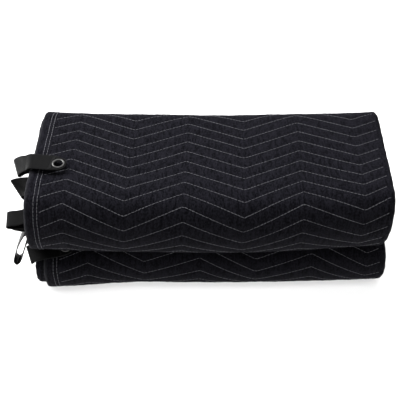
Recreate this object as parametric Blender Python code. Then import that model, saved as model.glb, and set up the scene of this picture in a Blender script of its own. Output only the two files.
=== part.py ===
"""Folded quilted sound blanket with webbing tabs and eyelets.

The blanket is folded in three across its width, so a layer of the bundle is
three plies thick, with a free hem at one end and a turned fold at the other.
The long strip that this makes is folded to the middle from both ends, folded
to the middle again, and closed like a book. That gives eight layers: one
outer layer that runs over the top, round the back and along the underside,
with a round nose at the front of each half, and the inner layers nested in
the noses. Webbing tabs with a metal eyelet are sewn in under the hem.

Metres, +Z up, the nose of the bundle towards -Y, the hem towards -X. The
origin is at the middle of the bounding box, on the surface it rests on.
"""

import math
from collections import namedtuple

import bmesh
import bpy
import numpy as np
from mathutils import Matrix, Vector

# Folded bundle
LAYER_GAP = 0.002
PLIES = 3
LOWER_FRONT_Y = -0.101
UPPER_FRONT_Y = -0.100
SPINE_Y = 0.0995
NOSE_REACH = 0.033
NOSE_POWER = 2.0
SPINE_REACH = 0.042
SPINE_POWER = 3.0
TURN_STEPS = 6
BEND_STEPS = 180
PATH_STEP = 0.001
SAME_POINT = 1e-7

# A layer of the stack, from the underside to the top. pitch is its share of the height. hem and
# turn are how far the free hem and the turned fold beside it stand to the left; fold and tuck are
# how far the fold of the outer plies and the hem of the inner ply stand to the right. turn_back
# and fold_back are the same at the back of the bundle.
Layer = namedtuple("Layer", "name pitch hem turn fold tuck turn_back fold_back")
STACK = (
    Layer("outer_low", 0.0250, -0.304, -0.326, 0.357, 0.347, -0.324, 0.354),
    Layer("inner_low", 0.0250, -0.310, -0.314, 0.345, 0.350, -0.314, 0.345),
    Layer("middle_low", 0.0255, -0.306, -0.318, 0.349, 0.340, -0.318, 0.349),
    Layer("crease_low", 0.0265, -0.305, -0.322, 0.356, 0.347, -0.320, 0.352),
    Layer("crease_high", 0.0330, -0.325, -0.316, 0.339, 0.330, -0.316, 0.341),
    Layer("middle_high", 0.0335, -0.315, -0.321, 0.346, 0.338, -0.321, 0.346),
    Layer("inner_high", 0.0335, -0.318, -0.312, 0.343, 0.347, -0.312, 0.343),
    Layer("outer_high", 0.0340, -0.319, -0.319, 0.345, 0.336, -0.327, 0.355),
)

# The strip from its upper free end to its lower one: the layer of each run, where the run starts
# and ends, and the reach and power of the bend that follows it.
Run = namedtuple("Run", "layer start end reach power")
RUNS = (
    Run("inner_high", 0.100, -0.082, None, 2.0),
    Run("middle_high", -0.082, 0.088, None, 2.0),
    Run("crease_high", 0.088, UPPER_FRONT_Y, NOSE_REACH, NOSE_POWER),
    Run("outer_high", UPPER_FRONT_Y, SPINE_Y, SPINE_REACH, SPINE_POWER),
    Run("outer_low", SPINE_Y, LOWER_FRONT_Y, NOSE_REACH, NOSE_POWER),
    Run("crease_low", LOWER_FRONT_Y, 0.092, None, 2.0),
    Run("middle_low", 0.092, -0.092, None, 2.0),
    Run("inner_low", -0.092, 0.096, None, 2.0),
)
CREASE_RUN, TOP_RUN, UNDER_RUN, LOWER_CREASE_RUN = 2, 3, 4, 5

# Zigzag quilting on the outer ply
QUILT_REPEAT = 0.215
QUILT_SPACING = 0.0257
QUILT_RISE = 0.0445
QUILT_DEPTH = 0.0011
QUILT_PEAK_X = -0.248
QUILT_SLANT = 0.037
SLANT_LIMITS = (-0.3, 0.75)
LINE_ANCHOR_Y = -0.118
LINE_SHIFT = 0.0124
LOW_TILT = 0.095
LOW_SHIFT = 0.0080
PEAK_COLUMNS = 11

# Rows along the strip: how far the quilted rows go into the crease, and over what length their
# zigzag comes in there; the rows near a free end, and how much thinner the end itself is; and the
# underside, where only every few rows are needed
CREASE_IN = 0.125
FADE_LENGTH = 0.105
ROW_CLEAR = 0.012
END_ROWS = (0.003, 0.050)
END_NARROW = 0.8
FLAT_HEIGHT = 0.0015
FLAT_FROM_FRONT = 0.030
FLAT_FROM_SPINE = 0.020
FLAT_EVERY = 5
GROOVE_RISE = (0.004, 0.020)

# Ends of a layer
HEM_BAND = 0.019
HEM_GROOVE = 0.0008
SLIT_DEPTH = 0.060
SLIT_MOUTH = 0.0034
EDGE_ROUND = 0.004
FOLD_ROUND = 0.010
INNER_STEPS = 4

# Rounding of a layer's ends: how far a point stands in from the edge in X, and its depth
FOLD_POINTS = ((0.003, 0.78), (0.0, 0.30))
FOLD_LIP = 0.004
TUCK_POINT = (0.001, -0.85)
TUCK_INNER = 0.006
TURN_INNER = 0.008
TURN_POINTS = ((0.002, -0.78), (0.0, -0.35), (0.002, 0.08))
TURN_LIP = 0.009
HEM_LIP = 0.001
HEM_DEPTH = 0.80

# Softness of the whole bundle
SAG = 0.034
NOSE_DROOP = 0.105
DROOP_FROM_Y = -0.060
DROOP_LENGTH = 0.088
BOW = 0.009
RIPPLE = 0.0012
LOWER_LEFT_FORWARD = 0.018
UPPER_RIGHT_BACK = 0.006
UPPER_RIGHT_LIFT = 0.40
CREASE_HEIGHT = 0.102
CREASE_BAND = (0.8, 1.2)
SAG_MIDDLE_X = 0.012
SAG_HALF_WIDTH = 0.335
SAG_SHARE = 0.25
DROOP_MOST = 1.3
BACK_FROM_Y = 0.02
BACK_LENGTH = 0.13
RIPPLE_WAVES = (19.0, 23.0, 7.0)
RIPPLE_PHASE = 0.8
BOW_BAND = (-0.10, 0.12)
FRONT_BAND = (0.0, 0.13)
LEFT_BAND = (0.1, 0.33)
RIGHT_BAND = (0.08, 0.34)

# Hollow that the tab between the two halves presses into them: middle and spread in X and Y, and
# the share of the height that it takes below and adds above
PRESS_AT = (-0.276, -0.100)
PRESS_SPREAD = (0.052, 0.036)
PRESS_LOWER = 0.055
PRESS_UPPER = 0.035

# Webbing tab and eyelet
WEB_WIDTH = 0.038
WEB_THICK = 0.0018
TAB_END_THICK = 0.0036
EYELET_INSET = 0.0165
EYELET_OUTER = 0.0122
EYELET_HOLE = 0.0080
EYELET_WALL = 0.0006
EYELET_FLANGE = 0.0011
PIECE_GAP = 0.0003
EYELET_SIDES = 20
EYELET_CROWN_STEPS = 5
ROOT_INSETS = (0.0050, 0.0005)
TAB_STEPS = 3

# End of a tab: where the doubled webbing starts, and how its tip narrows
DOUBLED_FROM = (0.0020, 0.0040)
SHOULDER = (0.0110, 0.0365)
EYELET_WIDTH = 0.0330
TIP_ANGLES = (0, 22, 42, 58, 71, 81)
TIP_THIN = 0.0010
LAST_STATIONS = 10

# A webbing tab from its root in the hem to its eyelet end: centre of the webbing, and how far its
# width is turned about Z (yaw) and its front edge dropped (dip), in degrees. run and root_y give
# the run of the strip and the Y where the tab leaves the slit under the hem.
TabRow = namedtuple("TabRow", "x y z yaw dip")
Tab = namedtuple("Tab", "name run root_y rows")
TABS = (
    Tab("tab_1", 3, -0.0240, (
        TabRow(-0.3310, -0.0230, 0.2205, 5, 3),
        TabRow(-0.3420, -0.0225, 0.2150, 13, 7),
        TabRow(-0.3485, -0.0225, 0.2130, 19, 10),
        TabRow(-0.3515, -0.0225, 0.2145, 21, 11),
        TabRow(-0.3500, -0.0225, 0.2188, 21, 11),
        TabRow(-0.3425, -0.0232, 0.2258, 18, 9),
        TabRow(-0.3345, -0.0248, 0.2310, 13, 6),
        TabRow(-0.3285, -0.0260, 0.2336, 9, 4),
        TabRow(-0.3238, -0.0270, 0.2376, 6, 2),
        TabRow(-0.3175, -0.0284, 0.2408, 2, 0),
        TabRow(-0.3080, -0.0300, 0.2408, -2, 0),
        TabRow(-0.2825, -0.0324, 0.2400, -9, 0),
        TabRow(-0.2491, -0.0382, 0.2388, -10, 0),
    )),
    Tab("tab_2", 0, -0.0300, (
        TabRow(-0.3300, -0.0300, 0.1786, 12, 8),
        TabRow(-0.3450, -0.0300, 0.1755, 28, 22),
        TabRow(-0.3560, -0.0295, 0.1710, 40, 34),
        TabRow(-0.3610, -0.0295, 0.1670, 42, 38),
        TabRow(-0.3590, -0.0308, 0.1620, 42, 36),
        TabRow(-0.3510, -0.0328, 0.1570, 36, 30),
        TabRow(-0.3420, -0.0340, 0.1500, 25, 20),
        TabRow(-0.3365, -0.0345, 0.1390, 12, 8),
        TabRow(-0.3355, -0.0350, 0.1280, 3, 2),
        TabRow(-0.3355, -0.0350, 0.1150, 0, 0),
        TabRow(-0.3355, -0.0350, 0.0810, 0, 0),
    )),
    Tab("tab_3", 1, -0.0630, (
        TabRow(-0.3235, -0.0700, 0.1540, 6, 0),
        TabRow(-0.3340, -0.0815, 0.1500, 8, 0),
        TabRow(-0.3480, -0.0885, 0.1500, 9, 0),
        TabRow(-0.3620, -0.0912, 0.1508, 9, 0),
        TabRow(-0.3695, -0.0925, 0.1490, 9, 0),
        TabRow(-0.3690, -0.0925, 0.1450, 9, 0),
        TabRow(-0.3600, -0.0920, 0.1425, 9, 0),
        TabRow(-0.3450, -0.0910, 0.1420, 8, 0),
        TabRow(-0.3350, -0.0905, 0.1405, 6, 0),
        TabRow(-0.3310, -0.0900, 0.1370, 5, 0),
        TabRow(-0.3325, -0.0895, 0.1337, 4, 0),
        TabRow(-0.3362, -0.0893, 0.1325, 3, 0),
        TabRow(-0.3702, -0.0885, 0.1318, 3, 0),
    )),
    Tab("tab_4", 2, -0.0830, (
        TabRow(-0.3345, -0.0838, 0.1125, 3, -4),
        TabRow(-0.3440, -0.0860, 0.1100, 8, -12),
        TabRow(-0.3510, -0.0940, 0.1030, 10, -18),
        TabRow(-0.3585, -0.1050, 0.0905, 10, -22),
        TabRow(-0.3650, -0.1145, 0.0755, 10, -24),
        TabRow(-0.3665, -0.1195, 0.0665, 8, -24),
        TabRow(-0.3615, -0.1215, 0.0620, 6, -22),
        TabRow(-0.3540, -0.1190, 0.0675, 5, -20),
        TabRow(-0.3490, -0.1120, 0.0775, 4, -16),
        TabRow(-0.3455, -0.1020, 0.0880, 2, -8),
        TabRow(-0.3415, -0.0920, 0.0940, 0, -2),
        TabRow(-0.3370, -0.0840, 0.0945, 0, 0),
        TabRow(-0.3325, -0.0790, 0.0915, 0, 0),
        TabRow(-0.3302, -0.0768, 0.0865, 0, 0),
        TabRow(-0.3297, -0.0765, 0.0820, 0, 0),
        TabRow(-0.3297, -0.0765, 0.0480, 0, 0),
    )),
    Tab("tab_5", None, None, (
        TabRow(-0.3056, -0.1130, 0.0893, 0, 14),
        TabRow(-0.3130, -0.1150, 0.0890, 6, 15),
        TabRow(-0.3220, -0.1200, 0.0870, 14, 17),
        TabRow(-0.3290, -0.1265, 0.0865, 20, 19),
        TabRow(-0.3325, -0.1310, 0.0885, 23, 20),
        TabRow(-0.3320, -0.1325, 0.0913, 23, 19),
        TabRow(-0.3270, -0.1310, 0.0938, 21, 17),
        TabRow(-0.3150, -0.1275, 0.0953, 17, 13),
        TabRow(-0.3000, -0.1240, 0.0952, 14, 10),
        TabRow(-0.2790, -0.1200, 0.0962, 12, 10),
        TabRow(-0.2465, -0.1145, 0.0974, 10, 10),
    )),
)

Finish = namedtuple("Finish", "name colour roughness metallic")
QUILTED_CLOTH = Finish("quilted_cloth", (0.012, 0.012, 0.014, 1.0), 0.82, 0.0)
WEBBING = Finish("webbing", (0.022, 0.022, 0.024, 1.0), 0.62, 0.0)
EYELET_METAL = Finish("eyelet_metal", (0.55, 0.55, 0.56, 1.0), 0.32, 1.0)


def clear_scene():
    """Empties the scene of objects."""
    for item in list(bpy.data.objects):
        bpy.data.objects.remove(item, do_unlink=True)


def material(finish):
    """Makes or returns the material of a finish."""
    made = bpy.data.materials.get(finish.name)
    if made:
        return made
    made = bpy.data.materials.new(finish.name)
    made.use_nodes = True
    shader = made.node_tree.nodes["Principled BSDF"]
    shader.inputs["Base Color"].default_value = finish.colour
    shader.inputs["Roughness"].default_value = finish.roughness
    shader.inputs["Metallic"].default_value = finish.metallic
    return made


def smooth_step(value, low, high):
    """0 below low, 1 above high and a soft rise between."""
    share = np.clip((value - low) / (high - low), 0.0, 1.0)
    return share * share * (3.0 - 2.0 * share)


def stack_heights():
    """Middle height and half thickness of each layer by name."""
    heights = {}
    floor = 0.0
    for layer in STACK:
        half = (layer.pitch - LAYER_GAP) / 2
        middle = floor + half if floor == 0.0 else floor + layer.pitch / 2
        heights[layer.name] = (middle, half)
        floor += layer.pitch
    return heights, floor


HEIGHTS, STACK_HEIGHT = stack_heights()
LAYERS = {layer.name: layer for layer in STACK}


def bend_points(y, z_from, z_to, reach, power, heading):
    """A half superellipse from one height to another that reaches towards heading."""
    semi = (z_from - z_to) / 2
    reach = abs(semi) if reach is None else reach
    angle = np.linspace(0.0, math.pi, BEND_STEPS + 1)
    side = np.sin(angle).clip(0.0)
    rise = np.cos(angle)
    ys = y + heading * reach * side ** (2 / power)
    zs = (z_from + z_to) / 2 + semi * np.sign(rise) * np.abs(rise) ** (2 / power)
    return np.column_stack([ys, zs])


def strip_path():
    """The middle line of the folded strip, with the key of each run's start and end.

    Returns the points in Y and Z, the length along them, the half thickness at
    each, and for each run the lengths at which it starts and ends.
    """
    points = [np.array([[RUNS[0].start, HEIGHTS[RUNS[0].layer][0]]])]
    marks = []
    for number, run in enumerate(RUNS):
        z = HEIGHTS[run.layer][0]
        marks.append([points[-1][-1], np.array([run.end, z])])
        points.append(np.array([[run.end, z]]))
        if number + 1 < len(RUNS):
            heading = math.copysign(1.0, run.end - run.start)
            z_next = HEIGHTS[RUNS[number + 1].layer][0]
            points.append(bend_points(run.end, z, z_next, run.reach, run.power, heading))
    line = np.concatenate(points)
    keep = np.concatenate([[True], np.linalg.norm(np.diff(line, axis=0), axis=1) > SAME_POINT])
    line = line[keep]
    length = np.concatenate([[0.0], np.cumsum(np.linalg.norm(np.diff(line, axis=0), axis=1))])
    spans = []
    for start, end in marks:
        first = length[np.argmin(np.linalg.norm(line - start, axis=1))]
        last = length[np.argmin(np.linalg.norm(line - end, axis=1))]
        spans.append((first, last))
    count = int(length[-1] / PATH_STEP)
    even = np.linspace(0.0, length[-1], count)
    line = np.column_stack([np.interp(even, length, line[:, axis]) for axis in (0, 1)])
    return line, even, spans


def run_edges(run):
    """X of hem, turn, fold and tuck where a run starts and where it ends."""
    layer = LAYERS[run.layer]
    front = (layer.hem, layer.turn, layer.fold, layer.tuck)
    tuck_back = layer.tuck + layer.fold_back - layer.fold
    back = (layer.hem, layer.turn_back, layer.fold_back, tuck_back)
    return (back, front) if run.start > run.end else (front, back)


class Strip:
    """The folded strip: where a point along it, across it and through it lies."""

    def __init__(self):
        self.line, self.at, self.spans = strip_path()
        tangent = np.gradient(self.line, self.at, axis=0)
        tangent /= np.linalg.norm(tangent, axis=1)[:, None]
        self.normal = np.column_stack([-tangent[:, 1], tangent[:, 0]])
        halves = [HEIGHTS[run.layer][1] for run in RUNS]
        ends = []
        for run, (first, last) in zip(RUNS, self.spans):
            ends += [first, last]
        self.half = np.interp(self.at, ends, np.repeat(halves, 2))
        outer = self.line + self.normal * self.half[:, None]
        steps = np.linalg.norm(np.diff(outer, axis=0), axis=1)
        self.outer_at = np.concatenate([[0.0], np.cumsum(steps)])
        top, top_end = self.spans[TOP_RUN]
        on_top = (self.at >= top) & (self.at <= top_end)
        away = np.where(on_top, np.abs(self.line[:, 0] - LINE_ANCHOR_Y), np.inf)
        self.anchor = self.outer_at[np.argmin(away)] + LINE_SHIFT
        corners = [edges for run in RUNS for edges in run_edges(run)]
        self.edges = [np.interp(self.at, ends, values) for values in zip(*corners)]

    def length_of(self, outer):
        """Length along the middle line for a length along the outer face."""
        return float(np.interp(outer, self.outer_at, self.at))

    def outer_of(self, length):
        """Length along the outer face for a length along the middle line."""
        return float(np.interp(length, self.at, self.outer_at))

    def place(self, length, depth):
        """Y and Z at a length, and at a depth from -1, the inner face, to 1, the outer."""
        y = np.interp(length, self.at, self.line[:, 0])
        z = np.interp(length, self.at, self.line[:, 1])
        ny = np.interp(length, self.at, self.normal[:, 0])
        nz = np.interp(length, self.at, self.normal[:, 1])
        half = np.interp(length, self.at, self.half)
        size = math.hypot(ny, nz)
        return y + ny / size * half * depth, z + nz / size * half * depth

    def edge(self, number, length):
        """The X of hem, turn, fold or tuck, 0 to 3, at a length."""
        return float(np.interp(length, self.at, self.edges[number]))


STRIP = Strip()


def soften(x, y, z):
    """The bundle's sag, droop, bow and ripple at a point of the plain stack."""
    across = np.clip(1.0 - ((x - SAG_MIDDLE_X) / SAG_HALF_WIDTH) ** 2, 0.0, 1.0)
    droop = np.clip((DROOP_FROM_Y - y) / DROOP_LENGTH, 0.0, DROOP_MOST) ** 2
    back = np.clip((y - BACK_FROM_Y) / BACK_LENGTH, 0.0, 1.0) ** 2
    wave_x, wave_y, wave_slant = RIPPLE_WAVES
    wave = math.sin(wave_x * x + RIPPLE_PHASE) * math.cos(wave_y * y + wave_slant * x)
    height = z / STACK_HEIGHT
    low, high = CREASE_BAND
    upper = smooth_step(z, low * CREASE_HEIGHT, high * CREASE_HEIGHT)
    right = smooth_step(x, *RIGHT_BAND) * upper
    left = smooth_step(-x, *LEFT_BAND) * (1.0 - upper)
    front = smooth_step(-y, *FRONT_BAND)
    hang = 1.0 - SAG_SHARE * across - UPPER_RIGHT_LIFT * right
    drop = SAG * across * height + NOSE_DROOP * droop * hang
    forward = BOW * across * (1.0 - back) * smooth_step(-y, *BOW_BAND)
    forward += (LOWER_LEFT_FORWARD * left - UPPER_RIGHT_BACK * right) * front
    press_x = (x - PRESS_AT[0]) / PRESS_SPREAD[0]
    press_y = (y - PRESS_AT[1]) / PRESS_SPREAD[1]
    press = math.exp(-press_x ** 2 - press_y ** 2)
    if z < CREASE_HEIGHT:
        push = -PRESS_LOWER * press * z
    else:
        above = (STACK_HEIGHT - z) / (STACK_HEIGHT - CREASE_HEIGHT)
        push = PRESS_UPPER * press * CREASE_HEIGHT * above
    return x, y - forward, z * (1.0 - drop) + push + RIPPLE * wave * height


def quilt_shift(length_from_anchor):
    """How far the zigzag's peaks stand to the right at a length from the anchor."""
    return QUILT_SLANT * np.clip(length_from_anchor, *SLANT_LIMITS)


def quilt_columns(length_from_anchor, left, right):
    """X of the outer face's columns in a row, from hem to fold."""
    first = QUILT_PEAK_X + quilt_shift(length_from_anchor)
    peaks = [first + QUILT_REPEAT / 4 * step for step in range(PEAK_COLUMNS)]
    near_fold = right - FOLD_ROUND
    band = [left + EDGE_ROUND, left + HEM_BAND, left + 1.5 * HEM_BAND]
    return [*band, *peaks, (peaks[-1] + near_fold) / 2, near_fold]


def zigzag(x, length_from_anchor):
    """Offset of a quilt line from its middle at X, towards the back at a peak."""
    phase = (x - quilt_shift(length_from_anchor) - QUILT_PEAK_X) / QUILT_REPEAT
    return QUILT_RISE * (abs(phase - math.floor(phase) - 0.5) * 2 - 0.5)


# A row across the strip: its lengths along the outer face and along the middle line, the share of
# the zigzag and of the groove that it takes, and how much of the layer's thickness
Row = namedtuple("Row", "outer length fade groove round")


def plain_rows():
    """The rows without quilting, over the whole strip."""
    lengths = []
    for number, (start, end) in enumerate(STRIP.spans):
        if number in (TOP_RUN, UNDER_RUN):
            continue
        bevel, inside = END_ROWS
        stations = [start, (start + end) / 2, end]
        if number == 0:
            stations = [start, start + bevel, start + inside, (start + end) / 2, end]
        if number == len(RUNS) - 1:
            stations = [start, (start + end) / 2, end - inside, end - bevel, end]
        lengths += stations
        if number not in (CREASE_RUN, len(RUNS) - 1):
            bend = STRIP.spans[number + 1][0] - end
            lengths += [end + bend * step / TURN_STEPS for step in range(1, TURN_STEPS)]
    ends = (0.0, STRIP.at[-1])
    return [Row(None, length, 0.0, 0.0, END_NARROW if length in ends else 1.0) for length in lengths]


def quilted_rows(first, last):
    """The rows with quilting, between two lengths along the outer face."""
    rows = []
    step = QUILT_SPACING / 2
    origin = STRIP.anchor - QUILT_RISE / 2
    low = math.ceil((first - origin) / step)
    for number in range(low, low + math.ceil((last - first) / step)):
        outer = origin + number * step
        if not first < outer < last:
            continue
        y, z = STRIP.place(STRIP.length_of(outer), 1.0)
        flat = z < FLAT_HEIGHT and LOWER_FRONT_Y + FLAT_FROM_FRONT < y < SPINE_Y - FLAT_FROM_SPINE
        if flat and number % FLAT_EVERY:
            continue
        fade_in = smooth_step(outer, first, first + FADE_LENGTH)
        fade_out = smooth_step(outer, last - FADE_LENGTH, last)
        groove = smooth_step(z, *GROOVE_RISE) if number % 2 == 0 else 0.0
        rows.append(Row(outer, STRIP.length_of(outer), fade_in * (1 - fade_out), groove, 1.0))
    return rows


def blanket_rows():
    """The rows of points along the strip, from its upper free end to its lower one."""
    first = STRIP.outer_of(STRIP.spans[CREASE_RUN][1] - CREASE_IN)
    last = STRIP.outer_of(STRIP.spans[LOWER_CREASE_RUN][0] + CREASE_IN)
    quilted = quilted_rows(first, last)
    plain = [row for row in plain_rows()
             if not first - ROW_CLEAR < STRIP.outer_of(row.length) < last + ROW_CLEAR]
    upper = [row for row in plain if row.length < quilted[0].length]
    lower = [row for row in plain if row.length > quilted[-1].length]
    return sorted(upper, key=lambda r: r.length) + quilted + sorted(lower, key=lambda r: r.length)


def section_points(row, base):
    """X and depth of the closed loop round the layer, from the outer hem to the inner face."""
    hem, turn, fold, tuck = (STRIP.edge(number, row.length) for number in range(4))
    half = float(np.interp(row.length, STRIP.at, STRIP.half))
    ply = 1 / PLIES
    mouth = SLIT_MOUTH / half / 2
    columns = quilt_columns(base - STRIP.anchor, hem, fold)
    grooves = [QUILT_DEPTH * row.groove] * len(columns)
    grooves[0] = grooves[-1] = 0.0
    grooves[1] = HEM_GROOVE if row.outer is not None and row.fade else 0.0
    loop = [(x, 1.0 - groove / half) for x, groove in zip(columns, grooves)]
    loop += [(fold - inset, depth) for inset, depth in FOLD_POINTS]
    loop += [(fold - FOLD_LIP, -ply + mouth), (fold - SLIT_DEPTH, -ply), (tuck, -ply - mouth)]
    loop.append((tuck - TUCK_POINT[0], TUCK_POINT[1]))
    low_x, high_x = turn + TURN_INNER, tuck - TUCK_INNER
    loop += [(high_x + (low_x - high_x) * step / INNER_STEPS, -1.0) for step in range(INNER_STEPS + 1)]
    loop += [(turn + inset, depth) for inset, depth in TURN_POINTS]
    loop += [(turn + TURN_LIP, ply - mouth), (hem + SLIT_DEPTH, ply), (hem + HEM_LIP, ply + mouth)]
    return loop + [(hem, HEM_DEPTH)]


def row_loop(row):
    """The closed loop of points round the layer at a row."""
    base = STRIP.outer_of(row.length) if row.outer is None else row.outer
    top_end, under_end = (STRIP.outer_at[np.searchsorted(STRIP.at, STRIP.spans[run][1])]
                          for run in (TOP_RUN, UNDER_RUN))
    low_share = smooth_step(base, top_end, under_end)
    points = []
    for x, depth in section_points(row, base):
        lean = (LOW_SHIFT - LOW_TILT * x) * low_share
        offset = row.fade * (zigzag(x, base - STRIP.anchor) + lean)
        length = STRIP.length_of(base + offset) if row.fade else row.length
        y, z = STRIP.place(length, depth * row.round)
        points.append(soften(x, y, z))
    return points


def add_object(name, bm, finish, smooth_angle):
    """Makes an object of a bmesh and dresses it."""
    bmesh.ops.recalc_face_normals(bm, faces=bm.faces)
    mesh = bpy.data.meshes.new(name)
    bm.to_mesh(mesh)
    bm.free()
    mesh.shade_smooth()
    mesh.set_sharp_from_angle(angle=math.radians(smooth_angle))
    mesh.materials.append(material(finish))
    item = bpy.data.objects.new(name, mesh)
    bpy.context.collection.objects.link(item)
    return item


def skin(loops):
    """A closed bmesh through loops of equal count, with its ends capped."""
    bm = bmesh.new()
    rings = [[bm.verts.new(point) for point in loop] for loop in loops]
    for ring, following in zip(rings, rings[1:]):
        for index, vertex in enumerate(ring):
            after = (index + 1) % len(ring)
            bm.faces.new((vertex, ring[after], following[after], following[index]))
    bm.faces.new(rings[0][::-1])
    bm.faces.new(rings[-1])
    return bm


def make_blanket():
    """The folded blanket, one closed body."""
    loops = [row_loop(row) for row in blanket_rows()]
    return add_object("blanket", skin(loops), QUILTED_CLOTH, 50)


def width_direction(yaw, dip):
    """Direction of the webbing's width, towards its front edge."""
    yaw, dip = math.radians(yaw), math.radians(dip)
    return np.array([math.sin(yaw) * math.cos(dip), -math.cos(yaw) * math.cos(dip), -math.sin(dip)])


def slit_rows(run, root_y):
    """The tab's rows inside the slit under the hem, deepest first."""
    first, last = STRIP.spans[run]
    share = (root_y - RUNS[run].start) / (RUNS[run].end - RUNS[run].start)
    length = first + share * (last - first)
    hem = STRIP.edge(0, length)
    rows = []
    for inset in ROOT_INSETS:
        x, y, z = soften(hem + inset, *STRIP.place(length, 1 / PLIES))
        rows.append(TabRow(x, y, z, 0, 0))
    return rows


def curve_point(points, t):
    """Point of a centripetal curve between the second and third of four points, t from 0 to 1."""
    knots = [0.0]
    for start, end in zip(points, points[1:]):
        knots.append(knots[-1] + math.sqrt(np.linalg.norm((end - start)[:3])))
    at = knots[1] + t * (knots[2] - knots[1])
    level = list(points)
    for pairs in (((0, 1), (1, 2), (2, 3)), ((0, 2), (1, 3)), ((1, 2),)):
        level = [((knots[high] - at) * level[index] + (at - knots[low]) * level[index + 1])
                 / (knots[high] - knots[low]) for index, (low, high) in enumerate(pairs)]
    return level[0]


def smooth_rows(rows):
    """Rows on a smooth curve through the given ones, with the last span kept straight."""
    table = np.array(rows, dtype=float)
    padded = np.vstack([2 * table[0] - table[1], table])
    fine = [curve_point(padded[index - 1:index + 3], step / TAB_STEPS)
            for index in range(1, len(table) - 1) for step in range(TAB_STEPS)]
    return np.array(fine), table[-2], table[-1]


def tab_stations(tab):
    """Centre, width direction, width and thickness of each station along a tab."""
    rows = list(tab.rows)
    if tab.run is not None:
        rows = slit_rows(tab.run, tab.root_y) + rows
    fine, start, end = smooth_rows(rows)
    stations = [(row[:3], width_direction(row[3], row[4]), WEB_WIDTH, WEB_THICK) for row in fine]
    span = end - start
    length = np.linalg.norm(span[:3])
    last_span = [
        (0.0, WEB_WIDTH, WEB_THICK),
        (DOUBLED_FROM[0], WEB_WIDTH, WEB_THICK),
        (DOUBLED_FROM[1], WEB_WIDTH, TAB_END_THICK),
        (*SHOULDER, TAB_END_THICK),
    ]
    for angle in TIP_ANGLES:
        turn = math.radians(angle)
        thick = TAB_END_THICK - (TIP_THIN if angle == TIP_ANGLES[-1] else 0.0)
        last_span.append((length - EYELET_INSET * (1 - math.sin(turn)), EYELET_WIDTH * math.cos(turn), thick))
    for along, width, thick in last_span:
        row = start + span * along / length
        stations.append((row[:3], width_direction(row[3], row[4]), width, thick))
    return stations


def tab_frame(tab):
    """Centre of a tab's eyelet, and the direction of its hole."""
    start, end = np.array(tab.rows[-2]), np.array(tab.rows[-1])
    along = (end - start)[:3]
    along /= np.linalg.norm(along)
    normal = np.cross(along, width_direction(end[3], end[4]))
    return end[:3] - along * EYELET_INSET, normal / np.linalg.norm(normal)


def make_tab(tab):
    """A webbing tab with the hole for its eyelet."""
    stations = tab_stations(tab)
    centres = np.array([station[0] for station in stations])
    steps = np.diff(centres, axis=0)
    steps /= np.linalg.norm(steps, axis=1)[:, None]
    tangents = np.vstack([steps[:1], steps[:-1] + steps[1:], steps[-1:]])
    tangents[-LAST_STATIONS:] = steps[-1]
    loops = []
    for (centre, across, width, thick), tangent in zip(stations, tangents):
        normal = np.cross(tangent, across)
        normal /= np.linalg.norm(normal)
        loops.append([centre + across * width / 2 * side + normal * thick / 2 * face
                      for side, face in ((-1, -1), (1, -1), (1, 1), (-1, 1))])
    item = add_object(tab.name, skin(loops), WEBBING, 40)
    centre, normal = tab_frame(tab)
    punch_radius = EYELET_HOLE + EYELET_WALL + PIECE_GAP
    bpy.ops.mesh.primitive_cylinder_add(vertices=EYELET_SIDES, radius=punch_radius,
                                        depth=4 * TAB_END_THICK, location=centre,
                                        rotation=turn_to(normal))
    cutter = bpy.context.active_object
    cutter.name = f"{tab.name}_punch"
    hole = item.modifiers.new("eyelet_hole", "BOOLEAN")
    hole.solver = "EXACT"
    hole.object = cutter
    bpy.context.view_layer.objects.active = item
    bpy.ops.object.modifier_apply(modifier=hole.name)
    bpy.data.objects.remove(cutter, do_unlink=True)
    return item


def turn_to(normal):
    """Rotation that takes +Z to a direction."""
    return Vector(normal).to_track_quat("Z", "Y").to_euler()


def eyelet_profile():
    """Radius and height of the eyelet's closed section."""
    face = TAB_END_THICK / 2 + PIECE_GAP
    barrel = EYELET_HOLE + EYELET_WALL
    middle = (EYELET_HOLE + EYELET_OUTER) / 2
    reach = (EYELET_OUTER - EYELET_HOLE) / 2
    crown = []
    for step in range(EYELET_CROWN_STEPS + 1):
        angle = math.pi * step / EYELET_CROWN_STEPS
        crown.append((middle - reach * math.cos(angle), face + EYELET_FLANGE * math.sin(angle)))
    under = [(barrel, face), (barrel, -face)]
    return crown + under + [(radius, -height) for radius, height in reversed(crown)]


def make_eyelet(tab):
    """The metal eyelet in a tab, turned round the tab's hole."""
    centre, normal = tab_frame(tab)
    frame = Matrix.Translation(centre) @ turn_to(normal).to_matrix().to_4x4()
    bm = bmesh.new()
    rings = []
    for side in range(EYELET_SIDES):
        turn = Matrix.Rotation(2 * math.pi * side / EYELET_SIDES, 4, "Z")
        rings.append([bm.verts.new(frame @ turn @ Vector((radius, 0.0, height)))
                      for radius, height in eyelet_profile()])
    for index, ring in enumerate(rings):
        following = rings[(index + 1) % len(rings)]
        for point, vertex in enumerate(ring):
            after = (point + 1) % len(ring)
            bm.faces.new((vertex, ring[after], following[after], following[point]))
    return add_object(tab.name.replace("tab", "eyelet"), bm, EYELET_METAL, 50)


def settle(items):
    """Moves the part so that it stands on Z 0 with its bounding box centred in X and Y."""
    points = np.array([vertex.co for item in items for vertex in item.data.vertices])
    low, high = points.min(axis=0), points.max(axis=0)
    shift = Vector((-(low[0] + high[0]) / 2, -(low[1] + high[1]) / 2, -low[2]))
    for item in items:
        item.data.transform(Matrix.Translation(shift))
    return shift


def build():
    """Builds the blanket, its tabs and its eyelets."""
    clear_scene()
    items = [make_blanket()]
    for tab in TABS:
        items += [make_tab(tab), make_eyelet(tab)]
    return settle(items)


SHIFT = build()
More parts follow.
